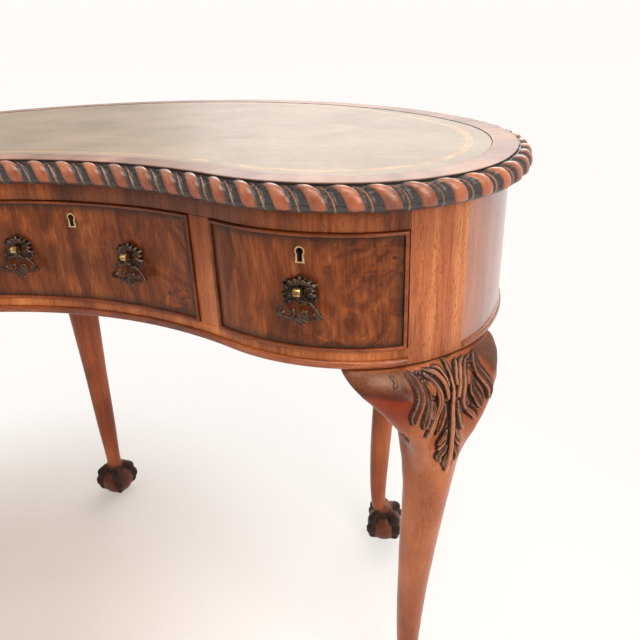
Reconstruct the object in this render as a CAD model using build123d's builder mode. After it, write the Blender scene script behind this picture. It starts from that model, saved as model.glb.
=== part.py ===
from build123d import *
from math import acos, atan2, cos, degrees, radians, sin
import os

os.makedirs("parts", exist_ok=True)

# Kidney shaped writing desk. Millimetres, +Z up, front towards -Y.
# The origin is on the floor, under the middle of the whole desk.

# Heights
desk_height = 760
top_thickness = 26
veneer_thickness = 3
leather_drop = 0.5
opening_top_drop = 19
opening_height = 115
bottom_rail_height = 10
base_bead_height = 8

# Plan of the top's flat edge: a hollow front, two rounded lobes and a bowed back
hollow_radius = 458
lobe_front_radius = 216
lobe_side_radius = 156
lobe_rear_radius = 262
hollow_turn = 24.7
lobe_turns = (35.5, 61.4, 53.7)

# Edge and border of the top
gadroon_projection = 18
gadroon_round_over = 13
gadroon_round_under = 8
gadroon_lip = 0.6
border_width = 26.5

# Apron
apron_inset = 7
panel_thickness = 20
rail_depth = 60
bead_projection = 3
bead_round = 3
bead_depth = 20
front_stile_headings = (-59.0, -34.6)
back_stile_headings = (44.5, 58.8)
post_tenon_depth = 25

# Front bays
centre_bay_width = 304
divider_width = 25
partition_thickness = 12
runner_width = 34
runner_height = 10
guide_height = 22
kicker_width = 46
screw_offset = 14
screw_radius = 2
screw_head_radius = 4
screw_head_height = 3
screw_bite = 15
screw_end_shares = (0.12, 0.88)

# Drawers
front_thickness = 20
front_gap = 0.8
slide_gap = 0.3
side_gap = 1.5
drawer_back_gap = 12
centre_drawer_space = 95
lining_thickness = 10
lining_drop = 14
bottom_thickness = 6
bottom_rise = 8
groove_depth = 5
cockbead_thickness = 3
cockbead_projection = 2.5
cockbead_depth = 11

# Locks
lock_width = 46
lock_height = 34
lock_depth = 11
lock_setback = 10
bolt_width = 20
bolt_thickness = 5
bolt_height = 18
bolt_gap = 0.1
mortise_clearance = 1
mortise_depth = 7
keyhole_drop = 17
keyhole_head_radius = 2.6
keyhole_slot_width = 3
keyhole_length = 9
escutcheon_wall = 2
escutcheon_depth = 1.5
escutcheon_stand = 0.4

# Handles
side_handle_x = 275
centre_handle_x = 70
handle_drop = 53
rose_radius = 16.5
rose_rim = 2
rose_dome = 6
stud_radius = 2.8
stud_reach = 13
stud_slot_width = 2.4
stud_slot_depth = 5.5
pin_radius = 1
pin_out = 10.6
pin_gap = 0.05
eye_radius = 2.2
eye_width = 2
pull_thickness = 3
pull_bar = 3.4
pull_half_width = 19
pull_neck = 11
pull_drop = 27
flower_radius = 6.5
nut_radius = 5.5
nut_height = 4
nut_gap = 0.1

# Legs
leg_turn_out = 52
front_leg_heading = -43
back_leg_heading = 51.6
knee_side = 51
ankle_side = 25
knee_inset = 12
ankle_inset = 47
foot_inset = 32
ball_radius = 31
ball_centre_height = 27
claw_count = 4
claw_wrist_radius = 8
claw_knuckle_radius = 9
claw_tip_radius = 4.5
knuckle_reach = 31
knuckle_rise = 15
talon_reach = 24
talon_fall = 19
# Height, thickness and inward sweep of the leg, and the roundness of its corners, from knee to ankle
leg_height_shares = (1.0, 0.93, 0.86, 0.79, 0.72, 0.65, 0.57, 0.46, 0.31, 0.19, 0.07)
leg_side_shares = (1.0, 1.0, 1.0, 0.86, 0.71, 0.62, 0.52, 0.35, 0.17, 0.0, 0.04)
leg_sweep_shares = (0.17, 0.06, 0.0, 0.03, 0.14, 0.31, 0.51, 0.74, 0.94, 1.0, 0.72)
leg_round_shares = (0.2, 0.2, 0.2, 0.24, 0.29, 0.33, 0.37, 0.4, 0.44, 0.46, 0.46)

# Knee brackets: the ears beside each knee
bracket_length = 61
bracket_height = 84
bracket_lap = 31
bracket_projection = 9
bracket_depth = 34
bracket_length_shares = (1.0, 0.9, 0.68, 0.46, 0.24, 0.0)
bracket_height_shares = (0.08, 0.14, 0.33, 0.49, 0.74, 1.0)

# Levels worked out from the heights
top_underside = desk_height - top_thickness
bay_top = top_underside - opening_top_drop
bay_bottom = bay_top - opening_height
apron_bottom = bay_bottom - bottom_rail_height
knee_height = apron_bottom - base_bead_height
far = 4 * desk_height


def normal(heading):
    """Unit vector pointing along a heading, in degrees from +X."""
    return Vector(cos(radians(heading)), sin(radians(heading)))


def right_arcs():
    """Arcs of the right half of the flat edge, front middle to back middle: centre, radius, headings."""
    turns = zip((lobe_front_radius, lobe_side_radius, lobe_rear_radius), lobe_turns)
    heading = -90 - hollow_turn
    arcs = [(Vector(0, 0), -hollow_radius, -90, heading)]
    for radius, turn in turns:
        centre, before, _, _ = arcs[-1]
        centre = centre + normal(heading) * (before - radius)
        arcs.append((centre, radius, heading, heading + turn))
        heading = heading + turn
    centre, before, _, _ = arcs[-1]
    bow = (centre + normal(heading) * before).X / cos(radians(heading))
    arcs.append((centre + normal(heading) * (before - bow), bow, heading, 90))
    front = arcs[1][0].Y - arcs[1][1]
    back = arcs[-1][0].Y + bow
    middle = Vector(0, -(front + back) / 2)
    return [(centre + middle, radius, first, last) for centre, radius, first, last in arcs]


edge_arcs = right_arcs()


def draw_plan(inset):
    """Draws the closed plan outline, inset from the flat edge, in the line being built."""
    for centre, radius, first, last in edge_arcs:
        start, middle, end = [centre + normal(h) * (radius - inset) for h in (first, (first + last) / 2, last)]
        if first == -90:
            ThreePointArc((-end.X, end.Y), (0, start.Y), (end.X, end.Y))
        elif last == 90:
            ThreePointArc((start.X, start.Y), (0, end.Y), (-start.X, start.Y))
        else:
            for side in (1, -1):
                ThreePointArc((side * start.X, start.Y), (side * middle.X, middle.Y), (side * end.X, end.Y))


def region(inset):
    """Sketch of everything inside the plan outline at an inset."""
    with BuildSketch() as shape:
        with BuildLine():
            draw_plan(inset)
        make_face()
    return shape.sketch


def ring(outer, inner):
    """Sketch of the band between two insets of the plan outline."""
    with BuildSketch() as shape:
        add(region(outer))
        add(region(inner), mode=Mode.SUBTRACT)
    return shape.sketch


def at_heading(inset, heading):
    """Point of the outline past the hollow whose outward normal has this heading."""
    for centre, radius, first, last in edge_arcs[1:]:
        if first <= heading <= last:
            return centre + normal(heading) * (radius - inset)
    return None


def at_x(inset, x, side=-1):
    """Point and heading of the outline at a distance x, on the front (side -1) or the back (side 1)."""
    if x < 0:
        point, heading = at_x(inset, -x, side)
        return Vector(-point.X, point.Y), -180 - heading
    for centre, radius, first, last in edge_arcs:
        share = (x - centre.X) / (radius - inset)
        if abs(share) > 1:
            continue
        heading = side * degrees(acos(share))
        if min(first, last) <= heading <= max(first, last):
            return centre + normal(heading) * (radius - inset), heading
    return None


def wall_plane(x, z, inset=apron_inset):
    """Plane on the front face of the apron: x to the right, y up, z outwards."""
    point, heading = at_x(inset, x)
    return Plane(
        origin=(point.X, point.Y, z),
        x_dir=(normal(heading + 90).X, normal(heading + 90).Y, 0),
        z_dir=(normal(heading).X, normal(heading).Y, 0),
    )


def block(low, high, mode=Mode.ADD):
    """Box between two opposite corners."""
    low, high = Vector(*low), Vector(*high)
    with Locations((low + high) / 2):
        Box(high.X - low.X, high.Y - low.Y, high.Z - low.Z, mode=mode)


def local_block(plane, low, high, mode=Mode.ADD):
    """Box between two opposite corners, given in a plane's own directions."""
    low, high = Vector(*low), Vector(*high)
    with Locations(plane.location * Location((low + high) / 2)):
        Box(high.X - low.X, high.Y - low.Y, high.Z - low.Z, mode=mode)


def bolt_box(plane, gap, low, high):
    """The room of a lock bolt, with a gap all round, between two heights above a plane's origin."""
    middle = -lock_setback - lock_depth / 2
    with BuildPart() as room:
        local_block(
            plane,
            (-bolt_width / 2 - gap, low, middle - bolt_thickness / 2 - gap),
            (bolt_width / 2 + gap, high, middle + bolt_thickness / 2 + gap),
        )
    return room.part


def stroke(start, end, width):
    """Straight bar with round ends, in the sketch being built."""
    run = Vector(*end) - Vector(*start)
    with Locations((Vector(*start) + Vector(*end)) / 2):
        Rectangle(run.length, width, rotation=degrees(atan2(run.Y, run.X)))
    with Locations(start, end):
        Circle(width / 2)


def taper(start, end, start_radius, end_radius):
    """Round taper from one point to another."""
    length = (end - start).length
    with Locations(Plane(origin=start, z_dir=end - start)):
        Cone(start_radius, end_radius, length, align=(Align.CENTER, Align.CENTER, Align.MIN))


def save(piece, label):
    """Labels a finished piece and writes it."""
    piece.part.label = label
    export_step(piece.part, f"parts/{label}.step")


def save_pair(piece, label):
    """Writes a piece of the right side and its mirror image on the left."""
    save(piece, f"{label}_right")
    with BuildPart() as left:
        mirror(piece.part, about=Plane.YZ)
    save(left, f"{label}_left")


# Corners of the stiles, which bound every piece of the apron
stile_front = at_heading(apron_inset, front_stile_headings[0])
stile_side = at_heading(apron_inset, front_stile_headings[1])
back_stile_side = at_heading(apron_inset, back_stile_headings[0])
back_stile_back = at_heading(apron_inset, back_stile_headings[1])
panel_inset = apron_inset + panel_thickness


def wall_piece(inner, low, high, z_low, z_high):
    """Part of the apron wall between two plan corners and two levels."""
    with BuildPart() as piece:
        with BuildSketch(Plane.XY.offset(z_low)):
            add(ring(apron_inset, inner))
        extrude(amount=z_high - z_low)
        block((*low, z_low), (*high, z_high), mode=Mode.INTERSECT)
    return piece


# Corners of the plan boxes that hold the front, end and back of the apron
rail_back = at_x(apron_inset + rail_depth, 0)[0].Y
front_low, front_high = (-stile_front.X, -far), (stile_front.X, rail_back)
end_low, end_high = (back_stile_back.X, stile_side.Y), (far, back_stile_side.Y)
back_low, back_high = (-back_stile_back.X, 0), (back_stile_back.X, far)


def base_bead(low, high):
    """Rounded bead under one side of the apron."""
    with BuildPart() as piece:
        with BuildSketch(Plane.XY.offset(knee_height)):
            add(region(apron_inset - bead_projection))
        extrude(amount=base_bead_height)
        levels = piece.faces().sort_by(Axis.Z)
        fillet(levels[0].edges() + levels[-1].edges(), bead_round)
        with BuildSketch(Plane.XY.offset(knee_height)):
            add(region(apron_inset + bead_depth))
        extrude(amount=base_bead_height, mode=Mode.SUBTRACT)
        block((*low, knee_height), (*high, apron_bottom), mode=Mode.INTERSECT)
    return piece


# Edges of the bays, and the runners' and kickers' places
bay_half = centre_bay_width / 2
divider_outer = bay_half + divider_width
partition_x = bay_half + divider_width / 2
rail_inset = apron_inset + rail_depth
kicker_front = at_x(rail_inset, partition_x)[0].Y
kicker_back = at_x(panel_inset, partition_x, side=1)[0].Y

# Screws that hold the top down through the kickers, heads countersunk from below
with BuildPart() as top_screws:
    places = [
        (side * (partition_x + offset), kicker_front + share * (kicker_back - kicker_front), bay_top)
        for side in (1, -1)
        for offset in (screw_offset, -screw_offset)
        for share in screw_end_shares
    ]
    low_end = (Align.CENTER, Align.CENTER, Align.MIN)
    with Locations(*places):
        Cylinder(screw_radius, opening_top_drop + screw_bite, align=low_end)
        Cone(screw_head_radius, screw_radius, screw_head_height, align=low_end)
save(top_screws, "top_screws")

# Top board, with pilot holes for its screws
with BuildPart() as top_board:
    with BuildSketch(Plane.XY.offset(top_underside)):
        add(region(0))
    extrude(amount=top_thickness - veneer_thickness)
    add(top_screws.part, mode=Mode.SUBTRACT)
save(top_board, "top_board")

# Crossbanded border round the writing surface
with BuildPart() as crossband_border:
    with BuildSketch(Plane.XY.offset(desk_height - veneer_thickness)):
        add(ring(0, border_width))
    extrude(amount=veneer_thickness)
save(crossband_border, "crossband_border")

# Leather writing surface, set in flush within the border
with BuildPart() as leather_inset:
    with BuildSketch(Plane.XY.offset(desk_height - veneer_thickness)):
        add(region(border_width))
    extrude(amount=veneer_thickness - leather_drop)
save(leather_inset, "leather_inset")

# Carved edge moulding, its plain swelling outline
with BuildPart() as gadroon_edge:
    with BuildSketch(Plane.XY.offset(top_underside)):
        add(ring(-gadroon_projection, 0))
    extrude(amount=top_thickness - gadroon_lip)
    top_rim = gadroon_edge.faces().sort_by(Axis.Z)[-1].outer_wire().edges()
    fillet(top_rim, gadroon_round_over)
    low_rim = gadroon_edge.faces().sort_by(Axis.Z)[0].outer_wire().edges()
    fillet(low_rim, gadroon_round_under)
save(gadroon_edge, "gadroon_edge")

# Front rails above and below the drawers; the upper one is mortised for the lock bolts
front_top_rail = wall_piece(rail_inset, front_low, front_high, bay_top, top_underside)
with BuildPart() as front_top_rail_mortised:
    add(front_top_rail.part)
    for lock_x in (0, side_handle_x):
        mortise = bolt_box(wall_plane(lock_x, bay_top), mortise_clearance, 0, mortise_depth)
        add(mortise, mode=Mode.SUBTRACT)
        add(mirror(mortise, about=Plane.YZ, mode=Mode.PRIVATE), mode=Mode.SUBTRACT)
save(front_top_rail_mortised, "front_top_rail")

front_bottom_rail = wall_piece(rail_inset, front_low, front_high, apron_bottom, bay_bottom)
save(front_bottom_rail, "front_bottom_rail")

# Uprights between the drawers
divider_low, divider_high = (bay_half, -far), (divider_outer, 0)
divider = wall_piece(rail_inset, divider_low, divider_high, bay_bottom, bay_top)
save_pair(divider, "divider")

# Curved end panels and back panel, housed in the posts
end_panel = wall_piece(panel_inset, end_low, end_high, apron_bottom, top_underside)
save_pair(end_panel, "end_panel")
back_panel = wall_piece(panel_inset, back_low, back_high, apron_bottom, top_underside)
save(back_panel, "back_panel")

# Beads under the apron
save(base_bead(front_low, front_high), "base_bead_front")
save(base_bead(back_low, back_high), "base_bead_back")
end_bead = base_bead(end_low, end_high)
save_pair(end_bead, "base_bead")


def post_sketch(low, high, tenon_low, tenon_high):
    """Plan of a corner post: its face in the apron wall, and the block behind the panels."""
    with BuildSketch() as shape:
        add(ring(apron_inset, panel_inset))
        with Locations(((low[0] + high[0]) / 2, (low[1] + high[1]) / 2)):
            Rectangle(high[0] - low[0], high[1] - low[1], mode=Mode.INTERSECT)
    with BuildSketch() as behind:
        add(region(panel_inset))
        with Locations(((tenon_low[0] + tenon_high[0]) / 2, (tenon_low[1] + tenon_high[1]) / 2)):
            Rectangle(tenon_high[0] - tenon_low[0], tenon_high[1] - tenon_low[1], mode=Mode.INTERSECT)
    with BuildSketch() as post:
        add(shape.sketch)
        add(behind.sketch)
    return post.sketch


def leg(post, edge_heading, turn_out):
    """Post, cabriole leg and claw-and-ball foot, in one piece. Its plane leaves the wall at turn_out."""
    start = at_heading(apron_inset, edge_heading)
    outward = normal(turn_out)
    levels = zip(leg_height_shares, leg_side_shares, leg_sweep_shares, leg_round_shares)
    foot = start - outward * foot_inset
    ball_centre = Vector(foot.X, foot.Y, ball_centre_height)
    with BuildPart() as piece:
        for height, side, sweep, roundness in levels:
            thickness = ankle_side + (knee_side - ankle_side) * side
            middle = start - outward * (knee_inset + (ankle_inset - knee_inset) * sweep)
            level = Plane(
                origin=(middle.X, middle.Y, knee_height * height),
                x_dir=(normal(turn_out + 45).X, normal(turn_out + 45).Y, 0),
                z_dir=(0, 0, 1),
            )
            with BuildSketch(level):
                RectangleRounded(thickness, thickness, thickness * roundness)
        loft()
        with BuildSketch(Plane.XY.offset(knee_height)):
            add(post)
        extrude(amount=top_underside - knee_height)
        with Locations(ball_centre):
            Sphere(ball_radius)
        for index in range(claw_count):
            spoke = normal(turn_out + index * 360 / claw_count)
            knuckle = ball_centre + spoke * knuckle_reach + Vector(0, 0, knuckle_rise)
            wrist = ball_centre + Vector(0, 0, ball_radius)
            talon = ball_centre + spoke * talon_reach - Vector(0, 0, talon_fall)
            taper(wrist, knuckle, claw_wrist_radius, claw_knuckle_radius)
            with Locations(knuckle):
                Sphere(claw_knuckle_radius)
            taper(knuckle, talon, claw_knuckle_radius, claw_tip_radius)
        block((-far, -far, -far), (far, far, 0), mode=Mode.SUBTRACT)
    return piece


def knee_bracket(corner_heading, direction, leg_part):
    """Ear glued beside the knee, under the apron: its lower edge runs in an S from tip to leg."""
    corner = at_heading(apron_inset, corner_heading)
    side_plane = Plane(
        origin=(corner.X, corner.Y, knee_height),
        x_dir=(normal(corner_heading + 90).X * direction, normal(corner_heading + 90).Y * direction, 0),
        z_dir=(normal(corner_heading) * direction),
    )
    curve = [
        (bracket_length * along, -bracket_height * drop)
        for along, drop in zip(bracket_length_shares, bracket_height_shares)
    ]
    lap = -bracket_lap
    with BuildPart() as piece:
        with BuildSketch(side_plane):
            with BuildLine():
                Spline(*curve)
                Polyline(curve[-1], (lap, curve[-1][1]), (lap, 0), (bracket_length, 0), curve[0])
            make_face()
        extrude(amount=bracket_depth * 2, both=True)
        with BuildSketch(Plane.XY.offset(knee_height - bracket_height)):
            add(ring(apron_inset - bracket_projection, apron_inset + bracket_depth - bracket_projection))
        extrude(amount=bracket_height, mode=Mode.INTERSECT)
        add(leg_part, mode=Mode.SUBTRACT)
    return piece


def brackets(headings, leg_part):
    """The two ears of one knee, as separate solids."""
    with BuildPart() as pair:
        add(knee_bracket(headings[0], -1, leg_part).part.solids().sort_by(SortBy.VOLUME)[-1])
        add(knee_bracket(headings[1], 1, leg_part).part.solids().sort_by(SortBy.VOLUME)[-1])
    return pair


front_post = post_sketch(
    (stile_front.X, -far), (far, stile_side.Y),
    (stile_front.X, -far), (far, stile_side.Y + post_tenon_depth),
)
back_post = post_sketch(
    (back_stile_back.X, back_stile_side.Y), (far, far),
    (back_stile_back.X - post_tenon_depth, back_stile_side.Y - post_tenon_depth), (far, far),
)
leg_front = leg(front_post, front_leg_heading, -leg_turn_out)
save_pair(leg_front, "leg_front")
leg_back = leg(back_post, back_leg_heading, leg_turn_out)
save_pair(leg_back, "leg_back")
save_pair(brackets(front_stile_headings, leg_front.part), "knee_brackets_front")
save_pair(brackets(back_stile_headings, leg_back.part), "knee_brackets_back")


def inside(front_inset):
    """Sketch of the space inside the apron, clear of the posts, from an inset of the front to the panels."""
    with BuildSketch() as band:
        add(ring(apron_inset, front_inset))
        with Locations((0, rail_back - far / 2)):
            Rectangle(far, far, mode=Mode.INTERSECT)
    with BuildSketch() as shape:
        add(region(panel_inset))
        add(band.sketch, mode=Mode.SUBTRACT)
        add(front_post, mode=Mode.SUBTRACT)
        add(back_post, mode=Mode.SUBTRACT)
    return shape.sketch


inner_space = inside(rail_inset)


def inner_board(x_low, x_high, z_low, z_high):
    """Board that runs back from the front rails to the panels, between two distances and two levels."""
    with BuildPart() as board:
        with BuildSketch(Plane.XY.offset(z_low)):
            add(inner_space)
            with Locations(((x_low + x_high) / 2, 0)):
                Rectangle(x_high - x_low, far, mode=Mode.INTERSECT)
        extrude(amount=z_high - z_low)
    return board


# Partitions between the bays, and the kickers on them that hold the drawers level
partition_inner = partition_x - partition_thickness / 2
partition_outer = partition_x + partition_thickness / 2
partition = inner_board(partition_inner, partition_outer, apron_bottom, bay_top)
save_pair(partition, "partition")

kicker_edge = kicker_width / 2
kicker_board = inner_board(partition_x - kicker_edge, partition_x + kicker_edge, bay_top, top_underside)
with BuildPart() as drawer_kickers:
    add(kicker_board.part)
    mirror(kicker_board.part, about=Plane.YZ)
    add(top_screws.part, mode=Mode.SUBTRACT)
save(drawer_kickers, "drawer_kickers")


def runner(bay_edge, wall_face):
    """Drawer runner with its guide: the runner lies under the bay's edge, the guide fills up to the wall."""
    inward = runner_width if bay_edge < wall_face else -runner_width
    flange = sorted((bay_edge - inward, wall_face))
    guide = sorted((bay_edge, wall_face))
    with BuildPart() as piece:
        add(inner_board(*flange, bay_bottom - runner_height, bay_bottom).part)
        add(inner_board(*guide, bay_bottom, bay_bottom + guide_height).part)
    return piece


outer_guide_edge = stile_front.X + partition_thickness
runner_edges = (
    (bay_half, partition_inner),
    (divider_outer, partition_outer),
    (stile_front.X, outer_guide_edge),
)
with BuildPart() as drawer_runners:
    for bay_edge, wall_face in runner_edges:
        right_runner = runner(bay_edge, wall_face)
        add(right_runner.part)
        mirror(right_runner.part, about=Plane.YZ)
save(drawer_runners, "drawer_runners")


def keyhole_shape(grow):
    """Keyhole outline, grown all round, in the sketch being built: a round head over a flared skirt."""
    half = keyhole_slot_width / 2 + grow
    Circle(keyhole_head_radius + grow)
    foot = -keyhole_length - grow
    Polygon((-half, 0), (half, 0), (half + grow / 2, foot), (-half - grow / 2, foot), align=None)


def keyhole_prism(plane, grow, low, high):
    """Keyhole-shaped prism between two depths of a plane."""
    with BuildPart() as prism:
        with BuildSketch(plane.offset(low)):
            keyhole_shape(grow)
        extrude(amount=high - low)
    return prism


def handle_rose(plane):
    """Domed rose with its forked stud and cross pin, and the nut behind the drawer front."""
    axis = Axis(plane.origin, plane.z_dir)
    side_view = Plane(origin=plane.origin, x_dir=plane.x_dir, z_dir=plane.y_dir * -1)
    back = front_thickness + nut_gap
    with BuildPart() as piece:
        with BuildSketch(side_view):
            with BuildLine():
                Polyline((0, 0), (rose_radius, 0), (rose_radius, rose_rim))
                ThreePointArc(
                    (rose_radius, rose_rim),
                    (rose_radius * 0.62, rose_rim + (rose_dome - rose_rim) * 0.66),
                    (0, rose_dome),
                )
                Line((0, rose_dome), (0, 0))
            make_face()
        revolve(axis=axis)
        with BuildSketch(plane.offset(-back - nut_height)):
            Circle(stud_radius)
        extrude(amount=back + nut_height + stud_reach)
        local_block(
            plane,
            (-stud_slot_width / 2, -rose_radius, stud_reach - stud_slot_depth),
            (stud_slot_width / 2, rose_radius, stud_reach),
            mode=Mode.SUBTRACT,
        )
        with Locations(plane.location * Location((0, 0, pin_out), (0, 90, 0))):
            Cylinder(pin_radius, 2 * stud_radius)
        with BuildSketch(plane.offset(-back - nut_height)):
            Circle(nut_radius)
            Circle(stud_radius + nut_gap, mode=Mode.SUBTRACT)
        extrude(amount=nut_height)
    return piece


def handle_pull(plane):
    """Stirrup-shaped drop that hangs from the cross pin, with a flower at its foot."""
    hang = plane.offset(pin_out)
    with BuildPart() as piece:
        with Locations(hang.location * Location((0, 0, 0), (0, 90, 0))):
            Cylinder(eye_radius, eye_width)
        local_block(
            hang,
            (-eye_width / 2, -pull_neck, -pull_thickness / 2),
            (eye_width / 2, -eye_radius / 2, pull_thickness / 2),
        )
        with BuildSketch(hang.offset(-pull_thickness / 2)):
            for side in (1, -1):
                corner = (side * pull_half_width, -pull_drop + pull_bar)
                stroke((0, -pull_neck), corner, pull_bar)
                stroke(corner, (0, -pull_drop), pull_bar)
            with Locations((0, -pull_drop)):
                Circle(flower_radius)
        extrude(amount=pull_thickness)
        with Locations(hang.location * Location((0, 0, 0), (0, 90, 0))):
            Cylinder(pin_radius + pin_gap, 2 * stud_radius, mode=Mode.SUBTRACT)
    return piece


def drawer(x_low, x_high, back_y, lock_x, handle_xs):
    """All the pieces of one drawer, by name, for a bay between two distances."""
    z_low, z_high = bay_bottom + slide_gap, bay_top - front_gap
    front_corners = (x_low + front_gap, -far, z_low), (x_high - front_gap, rail_back, z_high)
    bead = Vector(cockbead_thickness, 0, cockbead_thickness)
    front_inset = apron_inset + front_thickness
    lock_plane = wall_plane(lock_x, z_high)
    key_plane = wall_plane(lock_x, z_high - keyhole_drop)
    handle_planes = [wall_plane(x, bay_top - handle_drop) for x in handle_xs]
    side_low, side_high = x_low + side_gap, x_high - side_gap
    side_top = z_high - lining_drop
    floor_low = z_low + bottom_rise
    floor_high = floor_low + bottom_thickness
    pieces = {}

    with BuildPart() as cockbead:
        with BuildSketch(Plane.XY.offset(z_low)):
            add(ring(apron_inset - cockbead_projection, apron_inset - cockbead_projection + cockbead_depth))
        extrude(amount=z_high - z_low)
        block(*front_corners, mode=Mode.INTERSECT)
        block(Vector(*front_corners[0]) + bead, Vector(*front_corners[1]) - bead, mode=Mode.SUBTRACT)
    pieces["cockbead"] = cockbead

    with BuildPart() as lock_case:
        deep = -lock_setback - lock_depth
        local_block(lock_plane, (-lock_width / 2, -lock_height, deep), (lock_width / 2, 0, -lock_setback))
        add(bolt_box(lock_plane, bolt_gap, -bolt_height - bolt_gap, bolt_height), mode=Mode.SUBTRACT)
        key_room = keyhole_prism(key_plane, 0, -lock_setback - lock_depth / 2, 0)
        add(key_room.part, mode=Mode.SUBTRACT)
    pieces["lock_case"] = lock_case

    with BuildPart() as lock_bolt:
        add(bolt_box(lock_plane, 0, -bolt_height, 0))
    pieces["lock_bolt"] = lock_bolt

    escutcheon_seat = keyhole_prism(key_plane, escutcheon_wall, -escutcheon_depth, escutcheon_stand)
    with BuildPart() as escutcheon:
        add(escutcheon_seat.part)
        add(keyhole_prism(key_plane, 0, -escutcheon_depth, escutcheon_stand).part, mode=Mode.SUBTRACT)
    pieces["escutcheon"] = escutcheon

    roses = [handle_rose(plane) for plane in handle_planes]
    tags = ("_left", "_right") if len(handle_planes) > 1 else ("",)
    for tag, rose, plane in zip(tags, roses, handle_planes):
        pieces[f"handle_rose{tag}"] = rose
        pieces[f"handle_pull{tag}"] = handle_pull(plane)

    with BuildPart() as floor:
        with BuildSketch(Plane.XY.offset(floor_low)):
            add(region(front_inset - groove_depth))
        extrude(amount=bottom_thickness)
        tongue = lining_thickness - groove_depth
        block((side_low + tongue, -far, 0), (side_high - tongue, back_y, far), mode=Mode.INTERSECT)
    pieces["bottom"] = floor

    with BuildPart() as sides:
        with BuildSketch(Plane.XY.offset(z_low)):
            add(region(front_inset))
        extrude(amount=side_top - z_low)
        block((side_low, -far, 0), (side_high, back_y, far), mode=Mode.INTERSECT)
        inner = (side_low + lining_thickness, -far, 0), (side_high - lining_thickness, far, far)
        block(*inner, mode=Mode.SUBTRACT)
        add(floor.part, mode=Mode.SUBTRACT)
    pieces["sides"] = sides

    with BuildPart() as back:
        block(
            (side_low + lining_thickness, back_y - lining_thickness, floor_high),
            (side_high - lining_thickness, back_y, side_top),
        )
    pieces["back"] = back

    with BuildPart() as front:
        with BuildSketch(Plane.XY.offset(z_low)):
            add(ring(apron_inset, front_inset))
        extrude(amount=z_high - z_low)
        block(*front_corners, mode=Mode.INTERSECT)
        add(cockbead.part, mode=Mode.SUBTRACT)
        add(floor.part, mode=Mode.SUBTRACT)
        local_block(
            lock_plane,
            (-lock_width / 2, -lock_height, -2 * front_thickness),
            (lock_width / 2, z_high - z_low, -lock_setback),
            mode=Mode.SUBTRACT,
        )
        add(escutcheon_seat.part, mode=Mode.SUBTRACT)
        add(key_room.part, mode=Mode.SUBTRACT)
        for rose in roses:
            add(rose.part, mode=Mode.SUBTRACT)
    pieces["front"] = front
    return pieces


centre_back = at_x(panel_inset, bay_half, side=1)[0].Y - centre_drawer_space
centre_drawer = drawer(-bay_half, bay_half, centre_back, 0, (-centre_handle_x, centre_handle_x))
for part_name, piece in centre_drawer.items():
    save(piece, f"centre_{part_name}")

side_back = at_x(panel_inset, stile_front.X, side=1)[0].Y - drawer_back_gap
side_drawer = drawer(divider_outer, stile_front.X, side_back, side_handle_x, (side_handle_x,))
for part_name, piece in side_drawer.items():
    save_pair(piece, f"side_{part_name}")
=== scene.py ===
# %% [markdown]
# # A kidney shaped writing desk
# The desk is walnut: a kidney shaped top with a leather writing surface and a carved edge, three drawers in a
# curved apron, and four cabriole legs on claw-and-ball feet. The engineering model already holds every piece in its
# true place, so this lesson loads it as a fixed frame, keeps the pieces whose shape is right, and dresses or
# re-carves the rest.
# %% Load the frame
import math
from contextlib import contextmanager

import bmesh
import bpy
import numpy as np
from mathutils import Matrix, Vector


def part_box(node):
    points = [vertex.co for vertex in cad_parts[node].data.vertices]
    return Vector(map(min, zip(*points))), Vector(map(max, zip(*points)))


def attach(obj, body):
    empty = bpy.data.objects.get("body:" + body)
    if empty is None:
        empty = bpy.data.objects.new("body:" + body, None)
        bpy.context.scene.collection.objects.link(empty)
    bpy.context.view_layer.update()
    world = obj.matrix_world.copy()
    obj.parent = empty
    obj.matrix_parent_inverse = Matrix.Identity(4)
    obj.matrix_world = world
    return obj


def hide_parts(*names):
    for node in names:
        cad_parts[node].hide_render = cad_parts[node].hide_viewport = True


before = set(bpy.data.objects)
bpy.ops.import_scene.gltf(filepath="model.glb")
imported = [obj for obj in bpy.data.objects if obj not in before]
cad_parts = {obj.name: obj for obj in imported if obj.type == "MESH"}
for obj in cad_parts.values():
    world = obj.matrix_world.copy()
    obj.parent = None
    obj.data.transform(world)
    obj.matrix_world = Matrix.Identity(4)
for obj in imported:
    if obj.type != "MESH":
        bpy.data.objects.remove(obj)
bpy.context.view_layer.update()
MM = 0.001
print("nodes in the frame:", len(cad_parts))

# %% [markdown]
# ## Habits at the bench
# Every operator acts on what is selected, so each step first picks its piece. A finished piece keeps its place in
# its mesh, with the object itself at the origin, because the patterns in its finish are read from there.
# %% Picking and shaping a piece
UP, DOWN = (0, 0, 1), (0, 0, -1)


def pick(*pieces):
    bpy.ops.object.select_all(action="DESELECT")
    for piece in pieces:
        piece.select_set(True)
    bpy.context.view_layer.objects.active = pieces[0]


def name_new(name):
    piece = bpy.context.object
    piece.name = piece.data.name = name
    return piece


def settle(piece):
    pick(piece)
    bpy.ops.object.transform_apply(location=True, rotation=True, scale=True)
    return piece


def press(piece, kind, **settings):
    """Adds a modifier, sets it and applies it."""
    pick(piece)
    modifier = piece.modifiers.new(kind.title(), kind)
    for key, value in settings.items():
        setattr(modifier, key, value)
    bpy.ops.object.modifier_apply(modifier=modifier.name)
    return piece


@contextmanager
def opened(piece, action="SELECT"):
    """A piece's mesh in edit mode, with all or none of it selected."""
    pick(piece)
    bpy.ops.object.mode_set(mode="EDIT")
    bpy.ops.mesh.select_all(action=action)
    yield
    bpy.ops.object.mode_set(mode="OBJECT")


def cut(piece, place, away):
    """Cuts through a piece, clears the part that lies away from the place, and caps the rest."""
    with opened(piece):
        bpy.ops.mesh.bisect(plane_co=place, plane_no=away, use_fill=True, clear_outer=True)
    return piece


def join_pieces(name, pieces):
    pick(*pieces)
    bpy.ops.object.join()
    return name_new(name)


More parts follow.
